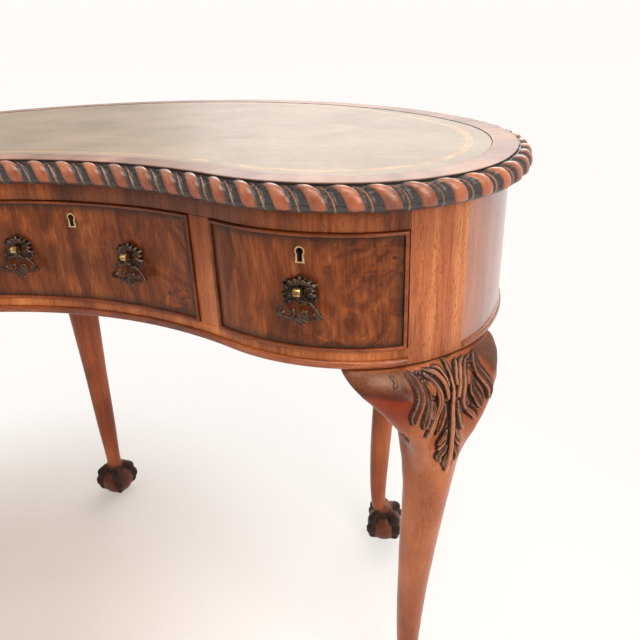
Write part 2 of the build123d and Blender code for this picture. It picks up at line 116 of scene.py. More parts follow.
def copy_of(node, name):
    """A merged copy of a node of the frame, as a piece of its own."""
    piece = bpy.data.objects.new(name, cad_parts[node].data.copy())
    bpy.context.scene.collection.objects.link(piece)
    piece.data.name = name
    with opened(piece):
        bpy.ops.mesh.remove_doubles(threshold=2e-6)
    return piece


def ball_at(name, place, radii, turn=0.0, segments=32, rings=16):
    """A ball, or an egg with three radii, turned about the upright axis by some degrees."""
    bpy.ops.mesh.primitive_uv_sphere_add(segments=segments, ring_count=rings, radius=1, location=place,
                                         rotation=(0, 0, math.radians(turn)))
    ball = name_new(name)
    ball.scale = radii
    return settle(ball)


def hand_over(piece, body, slot, finish, *nodes, smooth=40):
    """Gives a finished piece its finish and its body, and hides the nodes it stands for."""
    pick(piece)
    bpy.ops.object.shade_smooth_by_angle(angle=math.radians(smooth))
    piece.data.materials.clear()
    piece.data.materials.append(finish)
    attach(piece, body)
    if nodes:
        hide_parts(*nodes)


def dress(finish, *nodes):
    """Gives pieces of the frame a finish and keeps them as they are."""
    for node in nodes:
        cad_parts[node].material_slots[0].material = finish


print("bench habits ready")

# %% [markdown]
# ## Reading a shape
# Some steps move many points at once, and the finishes need marks that say where a carving is hollow or rubbed. Both
# read the mesh as rows of numbers. A hollow is found by letting the skin sag towards its neighbours: where it rises
# in doing so, the point lay in a hollow.
# %% Read points and write marks
def read(items, key, width=3, kind=float):
    """One row of numbers for each of a mesh's points, edges or corners."""
    values = np.zeros(len(items) * width, kind)
    items.foreach_get(key, values)
    return values.reshape(-1, width)


def read_points(piece):
    return read(piece.data.vertices, "co")


def write_points(piece, points):
    piece.data.vertices.foreach_set("co", points.ravel())
    piece.data.update()


def set_marks(piece, **marks):
    """Writes down one number for each point under each name."""
    for name, values in marks.items():
        mark = piece.data.attributes.new(name, "FLOAT", "POINT")
        mark.data.foreach_set("value", np.asarray(values, float))


def rise(value, low, high):
    """Rises smoothly from 0 at the first limit to 1 at the second, which may be the lower one."""
    share = np.clip((value - low) / (high - low), 0, 1)
    return share * share * (3 - 2 * share)


def hollows(piece, rounds):
    """How far each point lies below the skin around it, in metres; high places are negative."""
    points, normals = read_points(piece), read(piece.data.vertices, "normal")
    edges = read(piece.data.edges, "vertices", 2, int)
    first, second = np.r_[edges, edges[:, ::-1]].T
    count = np.maximum(np.bincount(first, minlength=len(points)), 1)
    around = points.copy()
    for _ in range(rounds):
        around = np.array([np.bincount(first, way[second], len(points)) / count for way in around.T]).T
    return np.einsum("ij,ij->i", around - points, normals)


print("reading ready")

# %% [markdown]
# ## The camera
# The desk was photographed from close by, slightly to its right, looking down at about 25 degrees. The camera's place
# was solved from the curves of the top and apron, so the render can be laid over the photograph.
# %% Set up the camera
CAMERA_PLACE = Vector((443.8, -782.1, 884.8)) * MM
CAMERA_TURNS = (16.49, 25.24, -2.11)
FOCAL_SHARE = 648.8 / 640


def stood(place, *axes):
    """The matrix that stands a thing at a place, with its x, y and z along three axes."""
    return Matrix.Translation(place) @ Matrix(axes).transposed().to_4x4()


yaw, pitch, roll = (math.radians(angle) for angle in CAMERA_TURNS)
ahead = Vector((-math.sin(yaw) * math.cos(pitch), math.cos(yaw) * math.cos(pitch), -math.sin(pitch)))
right = ahead.cross(Vector(UP)).normalized()
above = right.cross(ahead)
bpy.ops.object.camera_add()
camera = name_new("camera")
camera.matrix_world = stood(CAMERA_PLACE, right * math.cos(roll) + above * math.sin(roll),
                            above * math.cos(roll) - right * math.sin(roll), -ahead)
camera.data.lens = FOCAL_SHARE * camera.data.sensor_width
camera.data.clip_start = 0.02
bpy.context.scene.camera = camera
print("camera set")

# %% [markdown]
# ## The kidney line
# Five tangent arcs on each side draw the top's flat edge: a hollow front, a lobe of three arcs and a bowed back. All
# that follows the edge, such as the leather, the border and the carving, is laid out along this one line, so it is
# worked out once, as evenly spaced stations with their outward directions.
# %% Draw the kidney line
FRONT_HOLLOW, HOLLOW_TURN = 458 * MM, 24.7
LOBE_RADII, LOBE_TURNS = (216 * MM, 156 * MM, 262 * MM), (35.5, 61.4, 53.7)


def towards(heading):
    return np.array((math.cos(math.radians(heading)), math.sin(math.radians(heading))))


def right_arcs():
    """Centre, radius, first and last heading of each arc from the front's middle to the back's."""
    heading = -90 - HOLLOW_TURN
    arcs = [(np.zeros(2), -FRONT_HOLLOW, -90, heading)]
    for radius, turn in zip(LOBE_RADII, LOBE_TURNS):
        centre, before = arcs[-1][:2]
        arcs.append((centre + towards(heading) * (before - radius), radius, heading, heading + turn))
        heading += turn
    centre, before = arcs[-1][:2]
    bow = (centre + towards(heading) * before)[0] / math.cos(math.radians(heading))
    arcs.append((centre + towards(heading) * (before - bow), bow, heading, 90))
    middle = (arcs[1][0][1] - arcs[1][1] + arcs[-1][0][1] + bow) / 2
    return [(centre - np.array((0, middle)), *rest) for centre, *rest in arcs]


ARCS = right_arcs()
ARC_LENGTHS = [abs(radius * math.radians(last - first)) for _, radius, first, last in ARCS]
HALF_ROUND = sum(ARC_LENGTHS)
ROUND = 2 * HALF_ROUND


def edge_station(distance):
    """Point and outward direction of the flat edge, at a distance round it from the front's middle."""
    distance = distance % ROUND
    mirrored = distance > HALF_ROUND
    left = ROUND - distance if mirrored else distance
    for (centre, radius, first, last), length in zip(ARCS, ARC_LENGTHS):
        if left <= length + 1e-9:
            heading = first + (last - first) * left / length
            break
        left -= length
    out = towards(heading)
    flip = np.array((-1 if mirrored else 1, 1))
    return (centre + out * radius) * flip, out * flip


STATIONS = np.linspace(0, ROUND, 12001)
STATION_PLACES = np.array([np.r_[edge_station(stop)] for stop in (*STATIONS[:-1], 0.0)])
print("length of the flat edge:", round(ROUND / MM), "mm")

# %% [markdown]
# ## A strip bent round the desk
# A moulding is a flat strip with a shaped face that follows the edge. So each one starts as a grid: its length goes
# round the desk and its width goes round the moulding's section. The points are then moved in one go, because
# bending by hand would leave the joint open. The grid's own UV map is rewritten in metres, along and across.
# %% Bend a grid round the edge
def bend_round(name, columns, rows, section, closed=True):
    """A strip round the desk. section(along, across) gives offset, height and marks; "around" slides points along."""
    bpy.ops.mesh.primitive_grid_add(x_subdivisions=columns, y_subdivisions=rows, size=1)
    strip = name_new(name)
    flat = read_points(strip) + 0.5
    along, across = flat[:, 0] * ROUND, flat[:, 1]
    offset, height, marks = section(along, across)
    around = marks.pop("around", along) % ROUND
    x, y, out_x, out_y = (np.interp(around, STATIONS, way) for way in STATION_PLACES.T)
    write_points(strip, np.c_[x + out_x * offset, y + out_y * offset, height])
    set_marks(strip, **marks)
    corners = read(strip.data.loops, "vertex_index", 1, int).ravel()
    strip.data.uv_layers[0].data.foreach_set("uv", np.c_[along, -offset][corners].ravel())
    with opened(strip):
        bpy.ops.mesh.remove_doubles(threshold=1e-5)
        bpy.ops.mesh.normals_make_consistent(inside=False)
    if not closed:
        with opened(strip, "DESELECT"):
            bpy.ops.mesh.select_non_manifold()
            bpy.ops.mesh.fill_holes(sides=0)
            bpy.ops.mesh.select_all(action="SELECT")
            bpy.ops.mesh.normals_make_consistent(inside=False)
    print(name, "faces:", len(strip.data.polygons))
    return strip


def through(across, knots):
    """Offset and height along a section's knots, in even steps of its length."""
    knots = np.array(knots, float) * MM
    spans = np.r_[0, np.cumsum(np.hypot(*np.diff(knots, axis=0).T))]
    return [np.interp(across * spans[-1], spans, way) for way in knots.T]

# %% [markdown]
# ## Finishes
# Walnut has three scales of detail: broad bands of tone, fibres along the grain and short dark pores. One recipe
# makes all the woods here, with the grain's direction, colours and polish changed for each. The pattern is solid, in
# object coordinates, so it runs through the wood, and only the border's crossbanding reads the strip's own UV map. A
# carved piece carries a dark mark, 0 on the high places and 1 in the hollows, where wax and dust have turned black;
# under a lip or a bead the same mark holds painted shade.
# %% Tools for finishes
def paint(red, green, blue):
    """A colour as seen on screen, 0 to 255, as the shader wants it."""
    return tuple(((c / 255 + 0.055) / 1.055) ** 2.4 if c > 10 else c / 255 / 12.92 for c in (red, green, blue)) + (1,)


class Value:
    """What comes out of a node. Sums written with it add the nodes that work them out."""

    def __init__(self, finish, socket):
        self.finish, self.socket = finish, socket

    def __add__(self, other):
        return self.finish.maths("ADD", self, other)

    def __sub__(self, other):
        return self.finish.maths("SUBTRACT", self, other)

    def __rsub__(self, other):
        return self.finish.maths("SUBTRACT", other, self)

    def __mul__(self, other):
        return self.finish.maths("MULTIPLY", self, other)

    def __abs__(self):
        return self.finish.maths("ABSOLUTE", self)


class Finish:
    """A material, or the sky, with short ways to add and join its nodes."""

    def __init__(self, name, kind="materials", shader="Principled BSDF"):
        self.owner = getattr(bpy.data, kind).new(name)
        self.owner.use_nodes = True
        self.tree = self.owner.node_tree
        self.shader = self.tree.nodes[shader]

    def node(self, kind, inputs, output=0, **settings):
        made = self.tree.nodes.new("ShaderNode" + kind)
        for key, value in settings.items():
            setattr(made, key, value)
        for key, value in inputs.items():
            self.feed(value, made.inputs[key])
        return Value(self, made.outputs[output])

    def feed(self, value, socket):
        if isinstance(value, Value):
            self.tree.links.new(value.socket, socket)
        else:
            socket.default_value = value

    def coords(self, stretch=(1, 1, 1), source="Object", shift=(0, 0, 0)):
        where = self.node("TexCoord", {}, source)
        return self.node("Mapping", {"Vector": where, "Scale": stretch, "Location": shift})

    def axis(self, where, index):
        return self.node("SeparateXYZ", {"Vector": where}, index)

    def noise(self, where, scale, detail=4.0, rough=0.55, twist=0.0, output=0):
        return self.node("TexNoise", {"Vector": where, "Scale": scale, "Detail": detail, "Roughness": rough,
                                      "Distortion": twist}, output)

    def maths(self, operation, *values, clamp=False):
        return self.node("Math", dict(enumerate(values)), operation=operation, use_clamp=clamp)

    def lower(self, first, second):
        return self.maths("MINIMUM", first, second)

    def higher(self, first, second):
        return self.maths("MAXIMUM", first, second)

    def remap(self, value, low, high, to_low=0.0, to_high=1.0, smooth=True):
        return self.node("MapRange", dict(enumerate((value, low, high, to_low, to_high))),
                         interpolation_type="SMOOTHSTEP" if smooth else "LINEAR")

    def mix(self, share, first, second, blend="MIX"):
        return self.node("Mix", {0: share, 6: first, 7: second}, 2, data_type="RGBA", blend_type=blend,
                         clamp_factor=True)

    def ramp(self, value, *stops):
        made = self.node("ValToRGB", {0: value})
        band = made.socket.node.color_ramp.elements
        while len(band) < len(stops):
            band.new(0.5)
        for element, (place, colour) in zip(band, stops):
            element.position, element.color = place, paint(*colour)
        return made

    def mark(self, name):
        return self.node("Attribute", {}, "Fac", attribute_name=name)

    def bump(self, height, strength, depth):
        self.give(Normal=self.node("Bump", {"Strength": strength, "Distance": depth, "Height": height}))

    def give(self, **sockets):
        for key, value in sockets.items():
            self.feed(value, self.shader.inputs[key.replace("_", " ")])
        return self.owner


print("finishes ready")

# %% [markdown]
# ## The woods
# Colours are given dark, middle and light, as they look on screen. A stronger contrast narrows the middle tones, and
# the marks do the rest: one reddens an ear with amber stain and darkens the back legs as painted shade, one blackens
# a hollow with patina and paints shade under a lip or bead, and one paints a highlight on a crest.
# %% Mix the woods
GRAIN_STRETCH, PORE_STRETCH = 0.07, 0.21


def wood(name, dark, middle, light, grain="z", source="Object", contrast=1.0, pores=0.5, holes=0.0,
         patina=(30, 20, 15), rubbed=(222, 160, 118), polish=0.33, coat=0.12, coat_rough=0.22, shine=0.25):
    """Wood with its grain along one axis; holes adds dark specks."""
    finish = Finish(name)
    where, short = (finish.coords([stretch if axis == grain else 1 for axis in "xyz"], source)
                    for stretch in (GRAIN_STRETCH, PORE_STRETCH))
    fibres = finish.noise(where, 330, detail=5, rough=0.65)
    level = finish.noise(where, 28, detail=3, twist=0.6) * 0.62 + fibres * 0.38
    level = finish.remap(level, 0.5 - 0.16 / contrast, 0.5 + 0.16 / contrast, smooth=False)
    colour = finish.ramp(level, (0.0, dark), (0.5, middle), (1.0, light))
    pore = finish.remap(finish.noise(short, 900, detail=2), 0.56, 0.68)
    colour = finish.mix(pore * pores, colour, paint(*dark))
    drift = finish.remap(finish.noise(finish.coords(), 7, detail=2), 0.35, 0.65, 0, 0.55)
    colour = finish.mix(drift, colour, paint(*dark), "MULTIPLY")
    # The stain mark: amber stain on the ears, and painted shade darkening the back legs all over.
    colour = finish.mix(finish.mark("stain") * 0.95, colour, paint(190, 116, 12), "MULTIPLY")
    if holes:
        cells = finish.node("TexVoronoi", {"Vector": finish.coords(), "Scale": 70})
        colour = finish.mix(finish.remap(cells, 0.03, 0.055, holes, 0), colour, paint(40, 22, 14))
    grime = finish.noise(finish.coords(), 420, detail=3)
    # Patina and grime darken the hollows; the same mark also holds painted shade under lips and beads.
    hollow = finish.remap(finish.mark("patina") + grime * 0.3, 0.28, 0.98)
    colour = finish.mix(hollow, colour, paint(*patina))
    # Painted highlight: the light mark pales crests and ridges towards a light tone.
    colour = finish.mix(finish.mark("rubbed") * 0.75, colour, paint(*rubbed))
    gloss = finish.remap(fibres, 0.3, 0.7, polish - 0.07, polish + 0.12, smooth=False) + hollow * 0.3
    finish.bump(fibres * 0.4 - pore * 0.5, 0.35, 0.0003)
    return finish.give(Base_Color=colour, Roughness=gloss, Coat_Weight=coat, Coat_Roughness=coat_rough,
                       Specular_IOR_Level=shine)


RAIL_WALNUT = wood("rail_walnut", (76, 28, 6), (136, 68, 26), (178, 98, 44), contrast=1.2)
DIVIDER_WALNUT = wood("divider_walnut", (114, 50, 16), (180, 100, 48), (216, 134, 74))
STILE_WALNUT = wood("stile_walnut", (126, 60, 28), (176, 100, 58), (206, 134, 86), contrast=1.1, pores=0.9, holes=0.9)
LEG_WALNUT = wood("leg_walnut", (136, 68, 32), (178, 102, 58), (200, 126, 80), contrast=0.8, holes=0.7,
                  patina=(48, 32, 24), rubbed=(208, 160, 132), shine=0.2)
PANEL_WALNUT = wood("panel_walnut", (110, 50, 24), (160, 90, 54), (190, 118, 80), contrast=0.8, coat=1.0, shine=0.8)
BASE_WALNUT = wood("base_walnut", (92, 38, 12), (150, 74, 32), (190, 110, 60), grain="x", coat=0.6)
BEAD_WALNUT = wood("bead_walnut", (74, 28, 8), (124, 56, 20), (164, 84, 40), grain="x", coat=0.3)
EDGE_WALNUT = wood("edge_walnut", (112, 46, 14), (172, 84, 34), (202, 112, 60), contrast=0.8, pores=0.8,
                   patina=(46, 37, 32), rubbed=(222, 166, 126), polish=0.4, coat=0.7, coat_rough=0.3, shine=0.5)
CLAW_WALNUT = wood("claw_walnut", (96, 44, 20), (134, 70, 38), (160, 94, 58), contrast=0.7, patina=(46, 20, 8),
                   pores=0.4)
BORDER_WALNUT = wood("border_walnut", (112, 68, 46), (161, 110, 83), (184, 137, 106), grain="y", source="UV",
                     contrast=0.8, polish=0.42, shine=0.45)
INNER_WOOD = wood("inner_wood", (120, 84, 50), (158, 118, 76), (184, 146, 100), grain="y", coat=0.0, polish=0.6)
LINING_OAK = wood("lining_oak", (134, 98, 60), (176, 138, 92), (200, 166, 118), grain="y", coat=0.05, polish=0.5)
print("woods:", len(bpy.data.materials))

# %% [markdown]
# ## The carved edge
# The edge is a fat rounded moulding, carved all round with lobes that lean the same way. Each repeat has a bulbous
# lobe, a hollow, a thin raised thread and a wider hollow. A carver marks the repeats with dividers and cuts each one
# alike, so one rule gives the depth of cut from the place within a repeat and the place down the section.
# %% Carve the edge
REPEATS, STEPS = 80, 32
LEAN, CUT, CREST_OUT, FIRST_CUT = 0.58, 4.4 * MM, 16 * MM, 0.089
FACE_SHARE = 0.84  # of the strip's width is the carved face, and the rest turns home underneath
LOBE_AT, LOBE_RIGHT, THREAD_AT, THREAD_HALF, GROOVE_AT, GROOVE_HALF = 0.24, 0.31, 0.69, 0.055, 0.82, 0.12
CREST = [(0.2, 757.0), (1.2, 758.6), (3.8, 759.2), (7.8, 758.5), (11.3, 755.8), (13.7, 751.4), (14.6, 746.6),
         (14.3, 742.4), (13.1, 739.7), (11.3, 738.4)]
UNDERSIDE = [(12.2, 738.4), (3.0, 734.4), (0.0, 734.2), (0.0, 757.0), (0.2, 757.0)]


def crest_steps():
    """The flat edge's length against the crest's, where the carver steps off equal repeats."""
    half = [length * (radius + CREST_OUT) / radius for (_, radius, _, _), length in zip(ARCS, ARC_LENGTHS)]
    flat, crest = (np.cumsum([0] + side + side[::-1]) for side in (ARC_LENGTHS, half))
    return flat, crest / crest[-1] * REPEATS


def lobes(place, down):
    """Share of the full height left by the carver, 0 at the bottom of a hollow and 1 on the crest."""
    place = (place + 0.12) % 1 - 0.12
    across = np.abs(place - LOBE_AT) / np.where(place < LOBE_AT, 0.3 - 0.03 * down, LOBE_RIGHT)
    lobe = np.clip(1 - across ** 2.2, 0, 1) ** 0.6
    thread = np.clip(1 - np.abs(place - THREAD_AT) / THREAD_HALF, 0, 1) ** 0.7 * 0.6
    groove = 0.25 * np.clip(np.abs(place % 1 - GROOVE_AT) / GROOVE_HALF, 0, 1) ** 2
    return np.maximum.reduce((lobe, thread, groove)), thread, across


def edge_section(along, across):
    down = np.clip(across / FACE_SHARE, 0, 1)
    even = np.linspace(0, 1, 200)
    run = np.array([np.gradient(way) for way in through(even, CREST)])
    out_x, out_z = (np.interp(down, even, way) for way in np.array([-run[1], run[0]]) / np.hypot(*run))
    flat, steps = crest_steps()
    repeat = np.interp(along, flat, steps)
    kept, thread, across_lobe = lobes(repeat, down)
    lean = LEAN * (1 - (1 - down) ** 2.1) - FIRST_CUT
    around = np.interp((repeat + lean) % REPEATS, steps, flat)
    fade = np.clip(down / 0.08, 0, 1) * np.clip((1 - down) / 0.05, 0.35, 1)
    cut_in = CUT * (1 - kept) * fade
    under = across > FACE_SHARE + 1e-6
    home = through(np.clip((across - FACE_SHARE) / (1 - FACE_SHARE), 0, 1), UNDERSIDE)
    offset, height = (np.where(under, way_home, way - out * cut_in)
                      for way_home, way, out in zip(home, through(down, CREST), (out_x, out_z)))
    height = height + np.where(under, 0, rise(down, 0.85, 1) * (1 - kept) * 1.1 * MM)
    # Dark: patina in the grooves, then painted shade just under the border's lip and where the face turns under.
    patina = rise(across_lobe, 0.46, 1.08) * (1 - 0.6 * rise(thread, 0.2, 0.45))
    patina = np.maximum.reduce((patina, rise(down, 0.2, 0.04), 0.7 * rise(down, 0.93, 1.0)))
    # Painted highlight: pale threads and pale upper crests on the lobes.
    crest = np.clip(1 - across_lobe / 0.85, 0, 1) * rise(down, 0.1, 0.3) * rise(down, 0.75, 0.36)
    rubbed = np.maximum(0.5 * rise(thread, 0.3, 0.6) * rise(down, 0.04, 0.1), 0.35 * crest)
    return offset, np.minimum(height, 759.3 * MM), {"patina": np.clip(patina, 0, 1), "rubbed": rubbed,
                                                    "around": around}


carved_edge = bend_round("carved_edge", REPEATS * STEPS, 36, edge_section)
hand_over(carved_edge, "carcase", "carved_walnut", EDGE_WALNUT, "gadroon_edge", smooth=70)

# %% [markdown]
# ## The border
# A flat band of walnut, laid with its grain across the edge, runs round the leather. Its outer arris is slightly
# rubbed. The grain must turn with the edge, so it reads the strip's UV map.
# %% Lay the border
BORDER = [(-26.4, 757.0), (-0.1, 757.0), (0.0, 757.2), (0.0, 759.2), (-0.3, 759.75), (-0.9, 760.0), (-26.0, 760.0),
          (-26.4, 759.7), (-26.4, 757.0)]


def border_section(along, across):
    offset, height = through(across, BORDER)
    # Painted shade: the border's outer side is dark, as the shadow under its lip; the inner step is a dark joint.
    side = rise(height, 759.8 * MM, 759.3 * MM)
    inner = rise(offset, -25.9 * MM, -26.35 * MM)
    return offset, height, {"patina": np.maximum(side, 0.6 * inner)}


border = bend_round("border", 720, 60, border_section)
hand_over(border, "carcase", "crossband_walnut", BORDER_WALNUT, "crossband_border")

# %% [markdown]
# ## The leather
# A skiver of thin olive leather is glued in flush. Its rim is turned down and darkened, and a narrow band of gold is
# tooled inside the rim, closer to it at the front than at the ends. The band's place is a mark on the mesh, counted
# from the middle of the band, so the gold follows the kidney line.
# %% Lay the leather
LEATHER = [(-60, 757.0), (-26.6, 757.0), (-26.5, 757.2), (-26.6, 759.0), (-27.2, 759.45), (-28.2, 759.5),
           (-110, 759.5)]
LEATHER_EDGE, RIM, WAVE_LENGTH = 26.5 * MM, 0.9 * MM, 9.5 * MM
BAND_INSET, BAND_SPREAD, SPREAD_FROM, SPREAD_OVER = 14, 9, 170, 230


def leather_section(along, across):
    offset, height = through(across, LEATHER)
    inset = -offset - LEATHER_EDGE
    x = np.interp(along, STATIONS, STATION_PLACES[:, 0]) / MM
    middle = (BAND_INSET + BAND_SPREAD * rise(np.abs(x), SPREAD_FROM, SPREAD_FROM + SPREAD_OVER)) * MM
    return offset, height, {"band": (inset - middle) / MM, "patina": np.clip(1 - inset / RIM, 0, 1)}


def tooled_leather():
    finish = Finish("tooled_leather")
    where = finish.coords()
    fine = finish.noise(where, 160, detail=5, rough=0.7)
    creases = finish.node("TexVoronoi", {"Vector": where, "Scale": 420}, feature="DISTANCE_TO_EDGE")
    colour = finish.ramp(finish.noise(where, 9, detail=4) * 0.6 + fine * 0.4,
                         (0.3, (108, 90, 68)), (0.5, (140, 119, 96)), (0.7, (164, 139, 116)))
    streaks = finish.remap(finish.noise(finish.coords((0.25, 3, 1)), 40, detail=4), 0.55, 0.75, 0, 0.35)
    colour = finish.mix(streaks, colour, paint(174, 154, 134))
    away = abs(finish.mark("band"))
    run = finish.axis(finish.node("UVMap", {}), 0)
    wave = abs(finish.maths("SINE", run * (2 * math.pi / WAVE_LENGTH)))
    motif = finish.remap(abs(away - wave * 2.0), 0.35, 0.95, 1, 0) * finish.remap(away, 2.2, 2.6, 1, 0)
    lines = finish.remap(abs(away - 3.0), 0.2, 0.55, 1, 0)
    worn = finish.remap(finish.noise(where, 55, detail=4), 0.32, 0.56)
    gold = finish.higher(motif, lines) * worn
    colour = finish.mix(gold, colour, paint(200, 154, 100))
    colour = finish.mix(finish.remap(finish.mark("patina"), 0.2, 0.9), colour, paint(84, 54, 42))
    finish.bump(creases * -0.6 + fine * 0.5, 0.3, 0.0004)
    return finish.give(Base_Color=colour, Roughness=finish.remap(fine, 0.3, 0.7, 0.36, 0.5), Metallic=gold * 0.12)


leather = bend_round("leather", 720, 130, leather_section, closed=False)
hand_over(leather, "carcase", "leather", tooled_leather(), "leather_inset")

# %% [markdown]
# ## The veneered case
# The rails and stiles are straight-grained walnut, set upright, with slightly rubbed arrises that catch the light.
# The engineering pieces have the right shape with razor edges, so a merged copy of each gets a small bevel. Flat
# triangles are dissolved first, or the bevel would follow them.
# %% Ease the edges of the case
DRAWERS = {"centre": ("centre", ""), "left": ("side", "_left"), "right": ("side", "_right")}


def eased(node, body, slot, finish, width=0.7, segments=2):
    piece = copy_of(node, f"{node}_eased")
    press(piece, "DECIMATE", decimate_type="DISSOLVE", angle_limit=math.radians(0.5), delimit={"NORMAL"})
    press(piece, "BEVEL", width=width * MM, segments=segments, limit_method="ANGLE", angle_limit=math.radians(40),
          harden_normals=False, use_clamp_overlap=True)
    hand_over(piece, body, slot, finish, node, smooth=50)


eased("front_top_rail", "carcase", "crossband_walnut", RAIL_WALNUT)
for node in ("front_bottom_rail", "divider_left", "divider_right"):
    eased(node, "carcase", "crossband_walnut", DIVIDER_WALNUT)
dress(PANEL_WALNUT, "end_panel_left", "end_panel_right", "back_panel")
dress(BASE_WALNUT, *(f"base_bead_{place}" for place in ("front", "back", "left", "right")))
dress(INNER_WOOD, "partition_left", "partition_right", "drawer_kickers", "drawer_runners", "top_board")
for drawer, (head, tail) in DRAWERS.items():
    dress(LINING_OAK, *(f"{head}_{part}{tail}" for part in ("back", "bottom", "sides")))
    eased(f"{head}_cockbead{tail}", f"drawer_{drawer}", "bead_walnut", BEAD_WALNUT, width=1.25, segments=4)
print("case dressed")

# %% [markdown]
# ## Figured drawer fronts
# The fronts are faced with figured walnut: upright flame on the left that turns to burr, with knots and dark veins,
# on the right. Each front is made darker within about a centimetre and a half of its edges, beside the beads. Warped
# noise draws the flame and the burr, and each drawer has its own shift, as no two leaves of veneer are alike.
# %% Face the drawer fronts
def figured_walnut(name, low, high, shift, burr_from, burr_to):
    finish = Finish(name)
    plain = finish.coords(shift=shift)
    warp = finish.noise(plain, 9, detail=3, output=1)
    warp = finish.node("VectorMath", {0: warp, "Scale": 0.055}, operation="SCALE")
    bent = finish.node("VectorMath", {0: plain, 1: warp}, operation="ADD")
    flame = finish.node("Mapping", {"Vector": bent, "Scale": (1, 1, 0.16)})
    flame = finish.noise(flame, 58, detail=5, rough=0.6, twist=0.5)
    swirl = finish.noise(bent, 26, detail=7, rough=0.62, twist=2.6)
    blot = finish.noise(plain, 12, detail=2)
    x, z = (finish.axis(finish.coords(), index) for index in (0, 2))
    burr = finish.remap(x + (blot - 0.5) * 0.16, burr_from, burr_to)
    figure = finish.mix(burr, flame, swirl)
    colour = finish.ramp(figure, (0.3, (62, 26, 10)), (0.47, (112, 54, 22)), (0.58, (138, 72, 32)),
                         (0.72, (164, 96, 52)))
    veins = finish.remap(abs(finish.noise(bent, 15, detail=3, twist=1.2) - 0.5), 0.0, 0.022, 1, 0)
    veins = veins * finish.remap(blot, 0.44, 0.56)
    eyes = finish.remap(finish.node("TexVoronoi", {"Vector": bent, "Scale": 72}), 0.12, 0.3, 1, 0)
    eyes = eyes * finish.remap(blot, 0.47, 0.58)
    dark = finish.higher(veins * 0.7, eyes * 0.85)
    colour = finish.mix(dark * finish.maths("ADD", burr, 0.15, clamp=True), colour, paint(44, 20, 10))
    fibres = finish.noise(finish.coords((1, 1, 0.09)), 420, detail=4)
    colour = finish.mix(finish.remap(fibres, 0.42, 0.6, 0, 0.4), colour, paint(62, 28, 12))
    cloud = finish.remap(finish.noise(plain, 8, detail=2), 0.5, 0.68, 0, 0.5)
    colour = finish.mix(cloud, colour, paint(60, 30, 16))
    # Darker within about 14 mm of each edge of the front.
    edge = finish.lower(finish.lower(x - low[0], high[0] - x), finish.lower(z - low[2], high[2] - z))
    colour = finish.mix(finish.remap(edge, 0.001, 0.014, 0.86, 0), colour, paint(40, 27, 18))
    finish.bump(fibres + dark, 0.12, 0.0002)
    return finish.give(Base_Color=colour, Roughness=finish.remap(figure, 0.3, 0.7, 0.34, 0.24), Coat_Weight=0.1,
                       Coat_Roughness=0.2, Specular_IOR_Level=0.15)


# The shift of the pattern, and where along x the flame starts and ends its turn to burr
FIGURES = {"centre": ((0.31, 0.1, 0.2), -0.02, 0.2), "left": ((0.73, 0.4, 0.5), -0.30, -0.22),
           "right": ((0.0, 0.0, 0.0), 0.26, 0.32)}
for drawer, (head, tail) in DRAWERS.items():
    node = f"{head}_front{tail}"
    dress(figured_walnut(f"figured_walnut_{drawer}", *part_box(node), *FIGURES[drawer]), node)
print("fronts faced")

# %% [markdown]
# ## Locks
# The keyhole threads are thin lines of pale brass round a black keyhole, and the lock cases behind them are steel and
# brass. The keyhole's opening is painted shade on the plate: a round head over a straight slot, drawn from the
# thread's own box.
# %% Finish the metal
THREAD_WIDTH, HEAD_DOWN, HEAD_RADIUS, SLOT_HALF, SLOT_DOWN = 9.2 * MM, 4.6 * MM, 3.4 * MM, 2.3 * MM, 9.8 * MM


def metal(name, dark, light, rough, keyhole=None):
    finish = Finish(name)
    spots = finish.noise(finish.coords(), 300, detail=4)
    tone = spots * 0.5 + finish.noise(finish.coords(), 40, detail=3) * 0.5
    colour = finish.mix(finish.remap(tone, 0.35, 0.65), paint(*dark), paint(*light))
    # High places rubbed bright, which also stands in as painted highlight.
    colour = finish.mix(finish.mark("rubbed") * 0.8, colour, paint(202, 164, 136))
    colour = finish.mix(finish.remap(finish.mark("patina"), 0.25, 0.9), colour, paint(24, 18, 14))
    finish.bump(spots, 0.2, 0.0002)
    gloss, metallic = finish.remap(spots, 0.3, 0.7, rough - 0.08, rough + 0.1), 1.0
    if keyhole:
        low, high = keyhole
        stretch = THREAD_WIDTH / (high[0] - low[0])
        shift = (-(low[0] + high[0]) / 2 * stretch, 0, HEAD_DOWN - high[2])
        x, z = (finish.axis(finish.coords((stretch, 0, 1), shift=shift), index) for index in (0, 2))
        # Painted shade: the keyhole's opening is drawn black on the thread's plate.
        head = finish.maths("SQRT", x * x + z * z) - HEAD_RADIUS
        slot = finish.higher(abs(x) - SLOT_HALF, finish.higher(z, -SLOT_DOWN - z))
        inside = finish.remap(finish.lower(head, slot), 0.0, 0.2 * MM, 1, 0)
        colour, metallic = finish.mix(inside, colour, paint(18, 11, 7)), 1.0 - inside
        gloss = finish.higher(gloss, inside)
    return finish.give(Base_Color=colour, Roughness=gloss, Metallic=metallic)


BRASS = metal("brass", (170, 128, 76), (232, 196, 140), 0.32)
BRONZE = metal("bronze", (40, 30, 26), (98, 80, 68), 0.36)
STEEL = metal("steel", (96, 92, 88), (150, 146, 140), 0.4)
for drawer, (head, tail) in DRAWERS.items():
    thread = f"{head}_escutcheon{tail}"
    dress(metal(f"brass_thread_{drawer}", (190, 150, 96), (236, 206, 156), 0.4, keyhole=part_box(thread)), thread)
    dress(STEEL, f"{head}_lock_case{tail}")
    dress(BRASS, f"{head}_lock_bolt{tail}")
dress(STEEL, "top_screws")
dress(BRONZE, *(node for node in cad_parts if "handle" in node))
dress(LEG_WALNUT, *(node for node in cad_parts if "leg" in node or "knee" in node))
print("metal finished")

